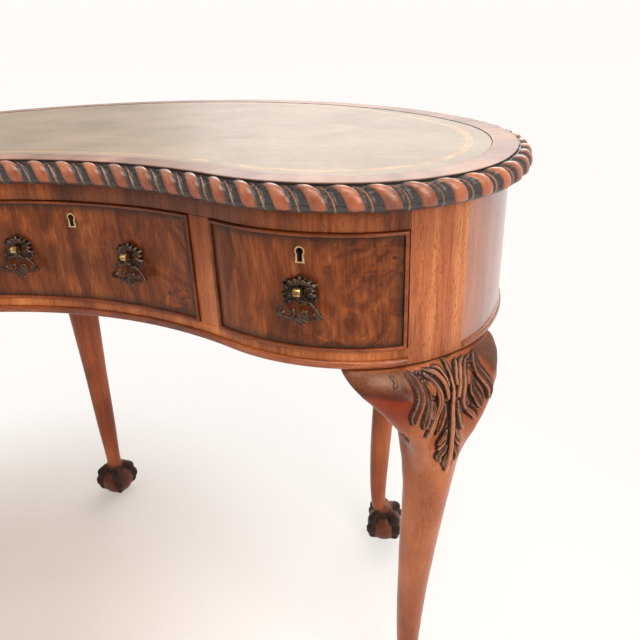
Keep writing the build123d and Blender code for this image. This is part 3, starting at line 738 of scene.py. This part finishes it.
# %% [markdown]
# ## Drop handles
# Each handle is a cast rose of curling leaves with a forked stud, and a bail that hangs from a bright brass barrel.
# Castings like these begin as wax, so they are modelled the same way: pellets pressed together along a line, then
# melted into one skin. Dirt fills the hollows, and the high places are rubbed bright and carry a painted highlight, so
# the marks are read off the shape itself.
# %% Press wax into a skin
WAX_VOXEL = 0.42 * MM


def pellets(*stops, side=1, step=0.7):
    """Pellets of wax along a line of stops: right, up, outwards and radius, in millimetres."""
    stops = np.array(stops, float) * (side, 1, 1, 1)
    spans = np.r_[0, np.cumsum(np.linalg.norm(np.diff(stops[:, :3], axis=0), axis=1))]
    even = np.linspace(0, spans[-1], max(2, int(spans[-1] / step)))
    line = np.array([np.interp(even, spans, way) for way in stops.T]).T * MM
    return [ball_at("pellet", (x, y, out), (size,) * 3, segments=10, rings=6) for x, y, out, size in line]


def curl(x, y, out, across, thick):
    bpy.ops.mesh.primitive_torus_add(major_radius=across * MM, minor_radius=thick * MM, major_segments=16,
                                     minor_segments=8, location=(x * MM, y * MM, out * MM))
    return settle(name_new("curl"))


def cast(name, wax):
    """Melts the wax into one skin, and marks its hollows and high places."""
    piece = join_pieces(name, wax)
    press(piece, "REMESH", mode="VOXEL", voxel_size=WAX_VOXEL)
    press(piece, "SMOOTH", factor=0.5, iterations=2)
    depth = hollows(piece, 8) / MM
    # Dirt in the hollows; the high places are rubbed bright and also carry a painted highlight.
    set_marks(piece, patina=rise(depth, -0.02, 0.2), rubbed=rise(-depth, 0.16, 0.4))
    return piece


def circle(degrees):
    return math.cos(math.radians(degrees)), math.sin(math.radians(degrees))


print("wax is pressed in steps of", WAX_VOXEL / MM, "mm")

# %% [markdown]
# ## Rose, bail and barrel
# One of each is made at the origin. The rose has thirteen leaves of uneven length round a dome, small curls inside
# them, and a longer scroll on each side below. The bail's two arms scroll out from the barrel and back to a shell at
# the bottom.
# %% Model the handle's castings
PIN_OUT, BARREL_RADIUS, HANDLE_LEVEL = 10.6 * MM, 4.2 * MM, 662 * MM
ROSE_SCROLL = (6, -6, 4.4, 1.7), (11, -9.6, 4.8, 1.5), (15, -8.8, 4.8, 1.4), (16, -5.8, 4.4, 1.3), (13.6, -5, 4.8, 1.2)
BAIL_ARM = (
    ((0, -6.5, 10.6, 1.7), (5, -8.2, 10.4, 1.4), (11, -10.6, 10, 1.3), (15.6, -14.4, 9.6, 1.5),
     (18.6, -19.4, 9.4, 1.9), (20, -23, 9.4, 2.8)),
    ((20, -23.4, 9.4, 1.9), (15, -25.6, 9.4, 1.4), (9.6, -26, 9.4, 1.5), (5.8, -24.2, 9.8, 1.6),
     (3.4, -20.6, 10.2, 1.6), (4.8, -17.6, 10.4, 1.8), (7.8, -18.2, 10.6, 1.6), (8.2, -20.8, 10.6, 1.3)),
    ((8, -9.2, 10.8, 1.6), (12.4, -10, 11, 1.8), (14.6, -12.2, 10.6, 1.3)),
    ((17.8, -22, 9.8, 1.5), (14.8, -20, 10, 1.2)))


def model_rose():
    wax = [ball_at("dome", (0, -1 * MM, 0.6 * MM), (14.5 * MM, 12.5 * MM, 4.6 * MM))]
    wax += pellets((0, 0, 2, 2.6), (0, 0, 8, 2.6))
    for leaf in range(13):
        x, y = circle(-36 + leaf * 21)
        far, lift = 1 + 0.1 * math.sin(leaf * 2.4), 0.9 * math.sin(leaf * 1.7)
        wax += pellets((8 * x, 7 * y - 1, 4.6, 1.9), (13 * x * far, 11 * y * far - 1, 4.8 + lift, 2.5),
                       (15.6 * x * far, 13 * y * far - 1, 2.8 + lift, 1.9))
        if leaf % 2:
            wax.append(curl(11.5 * x, 9.8 * y - 1, 6.2 + lift, 1.9, 0.8))
    for inner in range(7):
        x, y = circle(inner * 360 / 7 + 12)
        wax.append(curl(6.6 * x, 5.8 * y - 1, 5.3, 1.6, 0.8))
    for side in (-1, 1):
        wax += pellets(*ROSE_SCROLL, side=side)
    wax += pellets((0, -5, 4, 3.0), (0, -10, 3.8, 2.6), (0, -12.6, 3.2, 1.4))
    wax.append(curl(0, -12.6, 4.2, 1.7, 0.7))
    return cast("rose", wax)


def model_bail():
    wax = pellets((0, -3, 10.6, 1.9), (0, -6.5, 10.6, 1.8))
    for side in (-1, 1):
        for line in BAIL_ARM:
            wax += pellets(*line, side=side)
        wax.append(curl(side * 20, -22.6, 10.6, 1.9, 0.8))
    for spread in (-66, -34, 0, 34, 66):
        y, x = circle(spread)
        wax += pellets((0, -23.4, 10, 1.6), (4.2 * x, -24 - 4.2 * y, 10.6, 1.5), (8 * x, -24.6 - 8 * y, 9.6, 1.1))
    return cast("bail", wax)


def model_barrel():
    bpy.ops.mesh.primitive_cylinder_add(vertices=40, radius=BARREL_RADIUS, depth=6.6 * MM, location=(0, 0, PIN_OUT),
                                        rotation=(0, math.pi / 2, 0))
    barrel = settle(name_new("barrel"))
    bpy.ops.mesh.primitive_cube_add(size=1, location=(0, 0, PIN_OUT + BARREL_RADIUS))
    cutter = name_new("groove_cutter")
    cutter.scale = (12 * MM, 1.1 * MM, 2.6 * MM)
    settle(cutter)
    press(barrel, "BOOLEAN", operation="DIFFERENCE", object=cutter, solver="EXACT")
    pick(cutter)
    bpy.ops.object.delete()
    return press(barrel, "BEVEL", width=0.5 * MM, segments=3, limit_method="ANGLE", angle_limit=math.radians(40))


rose, bail, barrel = model_rose(), model_bail(), model_barrel()
print("castings:", [len(piece.data.polygons) for piece in (rose, bail, barrel)])

# %% [markdown]
# ## Hang the handles
# The castings are copied and stood on each drawer front, square to its curve. The engineering rose's disc would show
# through the leaves, so only its shank inside the drawer is kept.
# %% Stand the castings on the fronts
HANDLES = ((-70, "drawer_centre", "pull_centre_left", "centre_handle", "_left"),
           (70, "drawer_centre", "pull_centre_right", "centre_handle", "_right"),
           (-275, "drawer_left", "pull_left", "side_handle", "_left"),
           (275, "drawer_right", "pull_right", "side_handle", "_right"))
APRON_INSET, SHANK_INSET = 7 * MM, 0.3 * MM


def apron_place(x):
    """A place on the apron, a distance right of the middle, and its outward direction."""
    stops = [edge_station(stop) for stop in np.linspace(0, ARC_LENGTHS[0] + ARC_LENGTHS[1], 4000)]
    reach = np.array([point - out * APRON_INSET for point, out in stops])
    nearest = int(np.abs(reach[:, 0] - abs(x) * MM).argmin())
    (px, py), (ox, oy) = reach[nearest], stops[nearest][1]
    side = 1 if x > 0 else -1
    return Vector((side * px, py, HANDLE_LEVEL)), Vector((side * ox, oy, 0))


def stand_on_front(piece, name, place, out):
    pick(piece)
    bpy.ops.object.duplicate()
    copy = name_new(name)
    copy.matrix_world = stood(place, Vector((-out.y, out.x, 0)), UP, out)
    return settle(copy)


for x, drawer, pull, head, tail in HANDLES:
    place, out = apron_place(x)
    leaves = stand_on_front(rose, f"{head}_rose_leaves{tail}", place, out)
    hand_over(leaves, drawer, "bronze", BRONZE, f"{head}_rose{tail}", smooth=80)
    shank = cut(copy_of(f"{head}_rose{tail}", f"{head}_shank{tail}"), place - out * SHANK_INSET, out)
    hand_over(shank, drawer, "bronze", BRONZE, f"{head}_rose{tail}")
    hanging = stand_on_front(bail, f"{head}_bail{tail}", place, out)
    hand_over(hanging, pull, "bronze", BRONZE, f"{head}_pull{tail}", smooth=80)
    turning = stand_on_front(barrel, f"{head}_barrel{tail}", place, out)
    hand_over(turning, pull, "brass", BRASS, f"{head}_pull{tail}")
pick(rose, bail, barrel)
bpy.ops.object.delete()
print("handles hung:", len(HANDLES))

# %% [markdown]
# ## The knees, in clay
# Under each stile a cabriole leg swells into a knee, with a glued ear on each side. On the real desk the carver
# faired the three pieces into one form. So the engineering leg and its ears are copied, cut off below the bead and
# above the foot, joined with a swelling ball and worked like clay: remeshed into one skin and smoothed.
# %% Gather the clay
KNEE_TOP, FOOT_TOP, WALL_INSET, SKIN_OUT = 582 * MM, 70 * MM, 7 * MM, 14 * MM
# For each leg: where it meets the apron, which way it turns out, and the direction of the leaf's spine, in degrees
LEGS = {"front": (-43.0, -52.0, -44.8), "back": (51.6, 52.0, 52.0)}
LEG_LEVELS = (70, 160, 222, 279, 333, 380, 421, 461, 485, 510, 582)
LEG_INWARD = (38, 46, 44, 44, 31, 24, 17, 11, 11, 10, 12)
LEG_GROWTH = {"front": (1.05, 1.09, 1.12, 1.13, 1.14, 1.14, 1.16, 1.21, 1.28, 1.24, 1.0),
              "back": (1.12, 1.14, 1.12, 1.08, 1.07, 1.07, 1.09, 1.12, 1.16, 1.12, 1.0)}
LEG_SWAY = {"front": (-90, 2.4), "back": (90, 6.0)}
# Clay added on each side of a knee: mm to the side, out from the apron, height, then radii across, out and up
FILLERS = ((92, -3, 573, 15, 9, 9), (84, -1, 569, 17, 11, 13), (74, 2, 563, 18, 13, 17), (63, 5, 556, 18, 15, 22),
           (52, 9, 548, 17, 17, 27), (43, 11, 538, 16, 18, 30), (35, 11, 526, 15, 18, 31), (29, 9, 512, 14, 17, 30),
           (26, 5, 499, 12, 15, 28), (23.5, 0.5, 484, 10, 13, 27))
BACK_FILLERS = ((33, -7, 494, 11, 13, 30), (28, -9, 474, 9, 12, 34))


def wall_arc(heading):
    """Centre and radius of the apron's face at a heading on the right-hand side."""
    for centre, radius, first, last in ARCS[1:]:
        if first <= heading <= last:
            return centre, radius - WALL_INSET


def leg_line(end, inward):
    """Where a leg's middle line runs, a distance in from the apron, and how far the leg sways from it."""
    heading, turn_out, _ = LEGS[end]
    centre, radius = wall_arc(heading)
    turn, reach = LEG_SWAY[end]
    middle = centre + towards(heading) * radius - towards(turn_out) * inward
    return middle, towards(turn_out + turn) * reach * MM


def fatten(leg, end):
    """Swells the leg about its own middle line, more towards the knee."""
    points = read_points(leg)
    levels = points[:, 2] / MM
    middle, sway = leg_line(end, np.interp(levels, LEG_LEVELS, LEG_INWARD)[:, None] * MM)
    growth = np.interp(levels, LEG_LEVELS, LEG_GROWTH[end])[:, None]
    points[:, :2] = middle + (points[:, :2] - middle) * growth + sway * rise(levels, 575, 480)[:, None]
    write_points(leg, points)


def gather_clay(end):
    heading, _, spine = LEGS[end]
    centre, radius = wall_arc(heading)
    leg = cut(copy_of(f"leg_{end}_right", f"leg_clay_{end}"), (0, 0, KNEE_TOP - 0.1 * MM), UP)
    cut(leg, (0, 0, FOOT_TOP), DOWN)
    ears = copy_of(f"knee_brackets_{end}_right", f"ears_clay_{end}")
    swell_at = centre + towards(spine) * (radius - 13 * MM)
    clay = [ball_at("swell", (*swell_at, 538 * MM), (31 * MM, 47 * MM, 50 * MM), turn=spine)]
    for side, out, level, across, deep, up in FILLERS + (BACK_FILLERS if end == "back" else ()):
        for hand in (-1, 1):
            turn = spine + math.degrees(hand * side * MM / (radius + SKIN_OUT))
            place = centre + towards(turn) * (radius + out * MM)
            clay.append(ball_at("filler", (*place, level * MM), (deep * MM, across * MM, up * MM), turn=turn))
    fatten(leg, end)
    return join_pieces(f"knee_{end}_right", [leg, ears, *clay]), (spine, centre, radius)


knees = {end: gather_clay(end) for end in LEGS}
print("clay gathered:", list(knees))

# %% [markdown]
# ## Fair the knees
# The lump is melted into one skin and smoothed. Then it is pushed: a belly under the bead, drawn in again
# where it meets the bead, a longer smoothing just below the knee, and a fuller line on one side of the front legs.
# %% Fair the knee and its ears
KNEE_VOXEL = 2.2 * MM
BELLY_LEVEL, BELLY_SPREAD, BELLY_OUT = 560, 17, 5.0
RIM_LEVEL, RIM_SPREAD, RIM_IN, RIM_IN_LESS = 560, 22, 9.7, 2.2
FULLER_LEVEL, FULLER_SPREAD, FULLER_OUT = 481, 19, {"front": 3.2 * MM, "back": 0}


def knee_place(points, spine, centre, radius):
    """Millimetres to the side of the spine, out from the apron and above the floor, of points near a knee."""
    away = points[:, :2] - centre
    turn = np.degrees(np.arctan2(away[:, 1], away[:, 0])) - spine
    side = np.radians((turn + 180) % 360 - 180) * (radius + SKIN_OUT)
    return side / MM, (np.hypot(*away.T) - radius) / MM, points[:, 2] / MM


def hump(value, middle, spread):
    return np.exp(-(((value - middle) / spread) ** 2))


def fair(knee, end, place):
    spine, centre, _ = place
    press(knee, "REMESH", mode="VOXEL", voxel_size=KNEE_VOXEL)
    press(knee, "SMOOTH", factor=0.6, iterations=34)
    points = read_points(knee)
    side, out, level = knee_place(points, *place)
    belly = hump(level, BELLY_LEVEL, BELLY_SPREAD) * rise(out, -4, 5)
    belly = belly * (1 - 0.5 * rise(np.abs(side), 35, 60))
    rim = np.clip((level - RIM_LEVEL) / RIM_SPREAD, 0, 1) ** 2 * rise(out, -4, 3)
    push = BELLY_OUT * belly - (RIM_IN - RIM_IN_LESS * rise(np.abs(side), 6, 22)) * rim
    away = points[:, :2] - centre
    points[:, :2] += away / np.hypot(*away.T)[:, None] * (np.where(level > 480, push, 0) * MM)[:, None]
    points[:, 2] = np.minimum(points[:, 2], KNEE_TOP)
    write_points(knee, points)
    below = knee.vertex_groups.new(name="below_the_knee")
    level = points[:, 2] / MM
    weights = rise(level, 435, 460) * rise(level, 522, 500)
    for index in np.flatnonzero(weights > 0.01).tolist():
        below.add([index], float(weights[index]), "REPLACE")
    press(knee, "SMOOTH", factor=0.8, iterations=34, vertex_group="below_the_knee")
    points = read_points(knee)
    side, _, level = knee_place(points, *place)
    fuller = hump(level, FULLER_LEVEL, FULLER_SPREAD) * rise(side, 0, 16)
    points[:, :2] += towards(spine + 90) * FULLER_OUT[end] * fuller[:, None]
    write_points(knee, points)
    press(knee, "SMOOTH", factor=0.5, iterations=5)


for end, (knee, place) in knees.items():
    fair(knee, end, place)
    print(knee.name, "faces:", len(knee.data.polygons))

# %% [markdown]
# ## Acanthus on the knees
# Each knee carries a leaf: a ribbed spine down the middle, and on each side a fan of curling lobes with hollowed
# faces. The carver draws it on, sinks the ground round it and then models each lobe. Here each lobe is a line on the
# knee with a width and a height, and the same drawing tells where the hollows are, for the patina.
# %% Draw the leaf
# Lines are in millimetres from the spine and above the floor: points, half width, height, hollow
LOBES = (
    (((-43, 577), (-38.5, 573), (-35.2, 567), (-35.4, 560), (-38.8, 552), (-41.8, 544), (-42, 536)), 4.2, 4.2, 0.6),
    (((-26, 574), (-18.5, 567), (-14.2, 559), (-12, 550), (-12, 539), (-17, 529), (-25, 524), (-28, 517)),
     2.9, 5.0, 0.3),
    (((-29, 568), (-25.5, 560), (-25.2, 549), (-29.2, 540), (-32, 529)), 3.6, 3.8, 0.6),
    (((-26.5, 568), (-22.6, 563), (-19.6, 557)), 4.2, 4.4, 0.2),
    (((-26, 578), (-14, 573), (-8, 566), (-6, 557), (-5, 549)), 2.2, 4.0, 0.1),
    (((-17, 579), (-8.4, 575), (-4.8, 568), (-4, 561)), 1.5, 3.2, 0.0),
    (((-7, 541), (-7.4, 529), (-9.4, 519), (-12.6, 511)), 3.5, 4.2, 0.45),
    (((-18, 546), (-19, 539), (-22.5, 532)), 2.8, 3.4, 0.4),
    (((-4, 512), (-6.4, 504), (-10.6, 496.4)), 2.1, 3.6, 0.2),
    (((-4, 503), (-6.2, 497), (-10, 490.6)), 1.7, 3.4, 0.1),
    (((-3.6, 494), (-6.4, 487), (-8.8, 481), (-7, 475)), 2.7, 3.4, 0.5),
    (((-2, 484), (-3.2, 475), (-1.6, 467)), 2.0, 3.0, 0.2),
    (((-33.8, 576.4), (-33, 575.6)), 1.1, 2.0, 0.0), (((-30.8, 575.4), (-30, 574.8)), 1.1, 2.0, 0.0),
)
EAR_CURLS = ((((-60.5, 576), (-57.6, 575), (-56.2, 572.2), (-58, 570)), 1.1, 1.6, 0.0),
             (((-49.5, 517), (-45, 511), (-41.5, 504), (-40, 497)), 0.9, 0.7, 0.0))
NICKS = (((-51.5, 575), (-51, 569)), ((-48.6, 575), (-47.8, 567)), ((-19, 554), (-17.6, 547)))
SPINE = (((0, 582), (0, 540), (0, 500), (0, 462)), 1.9, 5.0, 0.0)
SPINE_LEAN = ((455, -3.2), (500, -3.2), (530, -1.8), (565, -1.4), (582, 0))
SINK = 1.4


def smooth_line(knots, count=28):
    """Rounded path through the knots of a line."""
    knots = np.array(knots, float)
    spans = np.r_[0, np.cumsum(np.hypot(*np.diff(knots, axis=0).T))]
    path = np.array([np.interp(np.linspace(0, spans[-1], count), spans, way) for way in knots.T]).T
    for _ in range(6):
        path[1:-1] = (path[:-2] + 2 * path[1:-1] + path[2:]) / 4
    return path


def reach_to(side, level, knots):
    """Distance to a line, where along it from 0 to 1, and on which hand, 1 towards the spine."""
    path = smooth_line(knots)
    nearest, where, hand = np.full(side.shape, 1e9), np.zeros(side.shape), np.ones(side.shape)
    for index, (start, end) in enumerate(zip(path[:-1], path[1:])):
        run, beside, above = end - start, side - start[0], level - start[1]
        share = np.clip((beside * run[0] + above * run[1]) / (run @ run), 0, 1)
        gap = np.hypot(beside - share * run[0], above - share * run[1])
        closer = gap < nearest
        nearest, where = np.where(closer, gap, nearest), np.where(closer, (index + share) / (len(path) - 1), where)
        hand = np.where(closer, np.sign(run[0] * above - run[1] * beside), hand)
    return nearest, where, hand


def lobe_height(side, level, line):
    """Height of one lobe, and how far outside its edge a place is."""
    knots, half, tall, hollow = line
    nearest, where, hand = reach_to(side, level, knots)
    taper = np.sqrt(np.clip(1 - np.clip((where - 0.82) / 0.22, 0, 1) ** 2, 0.1, 1))
    width = half * np.clip(0.5 + 1.8 * where, 0, 1) * taper
    across = hand * nearest / width
    face = np.clip(1 - np.abs(across) ** 4, 0, 1) * (1 + 0.25 * hollow * (across - 0.6))
    flute = 1 - hollow * hump(across, -0.15, 0.42)
    return tall * face * flute * np.clip(0.4 + 1.6 * where, 0, 1), nearest - width


def leaf_relief(side, level):
    """Height of the carving above the knee, in millimetres, and how sunk the ground is."""
    side = side - np.interp(level, *zip(*SPINE_LEAN))
    height, outside = lobe_height(side, level, SPINE)
    for line in LOBES:
        lobe, beyond = lobe_height(-np.abs(side), level, line)
        height, outside = np.maximum(height, lobe), np.minimum(outside, beyond)
    sunk = rise(outside, 3.4, 0.8) * (outside > 0)
    for line in EAR_CURLS:
        lobe, beyond = lobe_height(side, level, line)
        height = np.maximum(height, lobe)
        sunk = np.maximum(sunk, 0.7 * rise(beyond, 1.6, 0.2) * (beyond > 0))
    for knots in NICKS:
        sunk = np.maximum(sunk, 0.8 * rise(reach_to(side, level, knots)[0], 1.2, 0.3))
    fade = rise(level - 3 * rise(np.abs(side), 14, 6), 580.5, 575)
    return (height - SINK * sunk) * fade, sunk * fade


print("lobes in the leaf:", 2 * len(LOBES))

# %% [markdown]
# ## Carve it
# The skin is subdivided where the leaf goes, and its points are raised along their normals. The marks follow: black
# in the sunk ground, painted shade under the bead, the ears darker on their upper part and tips, an amber stain on
# the ears, the back legs darkened all over as painted shade, and painted highlights on what stands proud and along
# the left ear's shoulder.
# %% Carve the knees
# Painted shade: the back legs are darkened all over with the amber multiply.
BACK_SHADE = 0.36


def subdivide_leaf(knee, place):
    with opened(knee, "DESELECT"):
        bpy.ops.mesh.select_mode(type="FACE")
        skin = bmesh.from_edit_mesh(knee.data)
        side, out, level = knee_place(np.array([face.calc_center_median() for face in skin.faces]), *place)
        leaf = (np.abs(side) < 60) & (level > 455) | (np.abs(side) < 68) & (level > 490)
        for face, wanted in zip(skin.faces, leaf & (out > -12)):
            face.select_set(bool(wanted))
        bmesh.update_edit_mesh(knee.data)
        bpy.ops.mesh.subdivide(number_cuts=2)


def carve(knee, shade, place):
    subdivide_leaf(knee, place)
    points, normals = read_points(knee), read(knee.data.vertices, "normal")
    side, out, level = knee_place(points, *place)
    ahead = np.einsum("ij,ij->i", normals[:, :2], points[:, :2] - place[1])
    near = (np.abs(side) < 67) & (level > 452) & (out > -12) & (ahead > 0)
    height, sunk = np.zeros((2, len(points)))
    height[near], sunk[near] = leaf_relief(side[near], level[near])
    points += normals * (height * MM)[:, None]
    write_points(knee, points)
    depth = np.where(near, hollows(knee, 6), 0) / MM
    facing = rise(ahead, 0, 0.1) * rise(out, -18, -4)
    ear = rise(np.abs(side), 38, 50) * facing
    carved = rise(height, 0.05, 0.4) * rise(height, 5.0, 1.8)
    # Darker over the ears' upper part and their outer tips.
    ear_darkening = ear * np.maximum(rise(level, 553, 562), rise(np.abs(side), 78, 92))
    # Painted shade: a dark line just under the bead.
    shade_under_bead = rise(points[:, 2] / MM, 579.5, 581.6)
    patina = (0.85 * sunk, 0.66 * carved, 0.8 * rise(depth, 0, 0.5), 0.56 * ear_darkening, shade_under_bead)
    # Painted highlight: a pale band along the left ear's shoulder, and on the leaf's ridges.
    shoulder_highlight = ear * rise(level, 567, 573) * rise(level, 579, 574) * rise(-side, 88, 70)
    rubbed = np.maximum(0.5 * rise(-depth, 0.25, 0.9) * near, 0.3 * shoulder_highlight * (side < 0))
    stained = rise(np.abs(side), 26, 50) * rise(level, 515, 545) * rise(level, 572, 562)
    set_marks(knee, patina=np.maximum.reduce(patina), rubbed=rubbed,
              stain=np.maximum(facing * stained * (side < 0), shade))
    points[:, 2] = np.minimum(points[:, 2], KNEE_TOP)
    write_points(knee, points)


for end, (knee, place) in knees.items():
    carve(knee, BACK_SHADE if end == "back" else 0.0, place)
    print(knee.name, "faces:", len(knee.data.polygons))

# %% [markdown]
# ## Claw-and-ball feet
# Each leg ends in a bird's claw that grips a ball. A claw is three knuckles, thick at the joints and thin between
# them, and a hooked talon. Knuckles are balls of clay strung over the ball and pressed into one skin, and a mark
# keeps the ball light while the claws are dark.
# %% Model the feet
BALL, BALL_HEIGHT, FOOT_IN, FOOT_VOXEL, ANKLE_TOP = 31 * MM, 27 * MM, 32 * MM, 1.4 * MM, 78 * MM
# Angle from the top of the ball, distance beyond its skin and radius of each bead of a claw
CLAW = ((14, 6, 9.5), (28, 6.5, 8.0), (42, 6.5, 8.5), (51, 6.0, 9.6), (60, 4.5, 7.2), (70, 3.6, 6.6), (80, 3.8, 8.2),
        (88, 3.2, 8.0), (97, 2.4, 6.0), (106, 2.0, 6.2), (113, 1.6, 6.0), (121, 0.8, 4.4), (129, 0.4, 3.4),
        (137, 0.2, 2.6))
# Height, distance in from the apron and radius of each bead of the wrist
WRIST = ((48, 33, 19), (56, 35, 17), (64, 37.4, 15.4), (72, 39, 14.4), (82, 39.6, 13.8), (92, 40, 13.6))


def model_foot(end):
    middle = np.r_[sum(leg_line(end, FOOT_IN)), BALL_HEIGHT]
    beads = [ball_at("ball", middle, (BALL,) * 3, segments=48, rings=24)]
    for quarter in range(4):
        spoke = np.r_[towards(LEGS[end][1] + 90 * quarter), 0]
        for angle, beyond, size in CLAW:
            down, up = (way(math.radians(angle)) for way in (math.sin, math.cos))
            place = middle + (BALL + beyond * MM * 0.6) * (spoke * down + np.array((0, 0, up)))
            beads.append(ball_at("bead", place, (size * MM,) * 3, segments=16, rings=8))
    for height, inward, size in WRIST:
        place = (*sum(leg_line(end, inward * MM)), height * MM)
        beads.append(ball_at("wrist", place, (size * MM,) * 3, segments=24, rings=12))
    claw = join_pieces(f"foot_{end}_right", beads)
    press(claw, "REMESH", mode="VOXEL", voxel_size=FOOT_VOXEL)
    press(claw, "SMOOTH", factor=0.5, iterations=5)
    cut(claw, (0, 0, 0), DOWN)
    cut(claw, (0, 0, ANKLE_TOP), UP)
    points = read_points(claw)
    points[:, 2] = np.maximum(points[:, 2], 0)
    write_points(claw, points)
    from_ball = (np.linalg.norm(points - middle, axis=1) - BALL) / MM
    set_marks(claw, patina=0.2 + 0.62 * rise(from_ball, -0.9, 1.0) * rise(points[:, 2] / MM, 72, 58))
    return claw


feet = {end: model_foot(end) for end in LEGS}
print("feet:", [len(foot.data.polygons) for foot in feet.values()])

# %% [markdown]
# ## Posts, and the left-hand legs
# The square post above each knee is the stile between a drawer and the end panel, cut from the same wood. The left
# legs are mirror images of the right ones, each with its own mesh, and mirroring turns faces inside out, so their
# normals are made to point outwards again.
# %% Mirror the legs
def mirrored(piece, name):
    pick(piece)
    bpy.ops.object.duplicate()
    copy = name_new(name)
    bpy.ops.transform.mirror(constraint_axis=(True, False, False))
    settle(copy)
    with opened(copy):
        bpy.ops.mesh.normals_make_consistent(inside=False)
    return copy


for end, (knee, _) in knees.items():
    post = cut(copy_of(f"leg_{end}_right", f"post_{end}_right"), (0, 0, KNEE_TOP + 0.3 * MM), DOWN)
    for piece, finish, smooth in ((knee, LEG_WALNUT, 80), (feet[end], CLAW_WALNUT, 80), (post, STILE_WALNUT, 30)):
        other = mirrored(piece, piece.name.replace("right", "left"))
        for each, side in ((piece, "right"), (other, "left")):
            nodes = (f"leg_{end}_{side}", f"knee_brackets_{end}_{side}") if piece is knee else ()
            hand_over(each, "carcase", "leg_walnut", finish, *nodes, smooth=smooth)
print("legs placed")

# %% [markdown]
# ## The floor and the sky
# A pale studio: a near-white floor that keeps the desk's shadow and glows a little with distance, with a soft
# shadow painted on it to the desk's front left, and a white surround, brighter behind the desk than in front of it.
# %% Lay the floor
def fade_round(finish, x, y, *limits):
    """Changes with the distance from a place on the floor, in metres."""
    apart = finish.node("VectorMath", {0: finish.coords(shift=(-x, -y, 0))}, "Value", operation="LENGTH")
    return finish.remap(apart, *limits)


def ray(finish, kind):
    return finish.node("LightPath", {}, f"Is {kind} Ray")


bpy.ops.mesh.primitive_plane_add(size=24)
floor = name_new("studio_floor")
ground = Finish("studio_floor")
seen = ground.maths("ADD", ray(ground, "Camera") + ray(ground, "Glossy"), ray(ground, "Transmission"), clamp=True)
# Painted shadow: a soft dark patch on the floor to the desk's front left, seen only by camera and glossy rays.
painted_floor_shadow = fade_round(ground, -0.4, -0.25, 0.15, 0.72, 1, 0) * seen
white = ground.mix(ground.noise(ground.coords(), 0.9, detail=1), paint(250, 243, 238), paint(254, 250, 246))
ground.give(Base_Color=ground.mix(painted_floor_shadow, white, paint(212, 199, 190)), Roughness=0.85, Specular_IOR_Level=0.1)
far_share = fade_round(ground, -0.2, -0.35, 0.1, 1.3, 0.3, 1.0) * seen
glow = ground.node("Emission", {"Color": ground.mix(painted_floor_shadow, paint(255, 252, 249), paint(216, 204, 196)),
                                "Strength": 1.0})
both = ground.node("MixShader", {"Fac": far_share, 1: Value(ground, ground.shader.outputs[0]), 2: glow})
ground.feed(both, ground.tree.nodes["Material Output"].inputs["Surface"])
floor.data.materials.append(ground.owner)

sky = Finish("studio", "worlds", "Background")
depth = sky.axis(sky.node("TexCoord", {}, "Generated"), 1)
level = sky.higher(sky.remap(depth, -0.35, 0.55, 0.16, 0.95, smooth=False), ray(sky, "Camera"))
bpy.context.scene.world = sky.give(Color=paint(255, 252, 248), Strength=level)
print("floor laid")

# %% [markdown]
# ## The light
# A big soft lamp behind lays a sheen on the top, and a soft key lamp shines from the front right, with a faint fill
# opposite.
# %% Hang the lamps
# Place, target, size and power of each lamp
LAMPS = {"window_behind": ((0.25, 3.2, 2.4), (0.15, 0, 0.7), (4.0, 2.0), 74),
         "ceiling": ((0.3, -1.0, 2.6), (0.2, -0.1, 0.6), (1.6, 1.0), 30),
         "key_front_right": ((2.0, -1.7, 1.7), (0.2, 0, 0.55), (1.4, 1.4), 44),
         "fill_front_left": ((-1.9, -1.9, 1.6), (0, 0, 0.6), (1.4, 1.4), 10)}
for name, (place, target, size, power) in LAMPS.items():
    bpy.ops.object.light_add(type="AREA", location=place)
    lamp = name_new(name)
    lamp.data.shape, lamp.data.size, lamp.data.size_y = "RECTANGLE", *size
    lamp.data.energy, lamp.data.color = power, (1, 0.97, 0.94)
    lamp.rotation_euler = (Vector(target) - Vector(place)).to_track_quat("-Z", "Y").to_euler()
bpy.context.scene.view_settings.view_transform = "Standard"
print("studio ready")
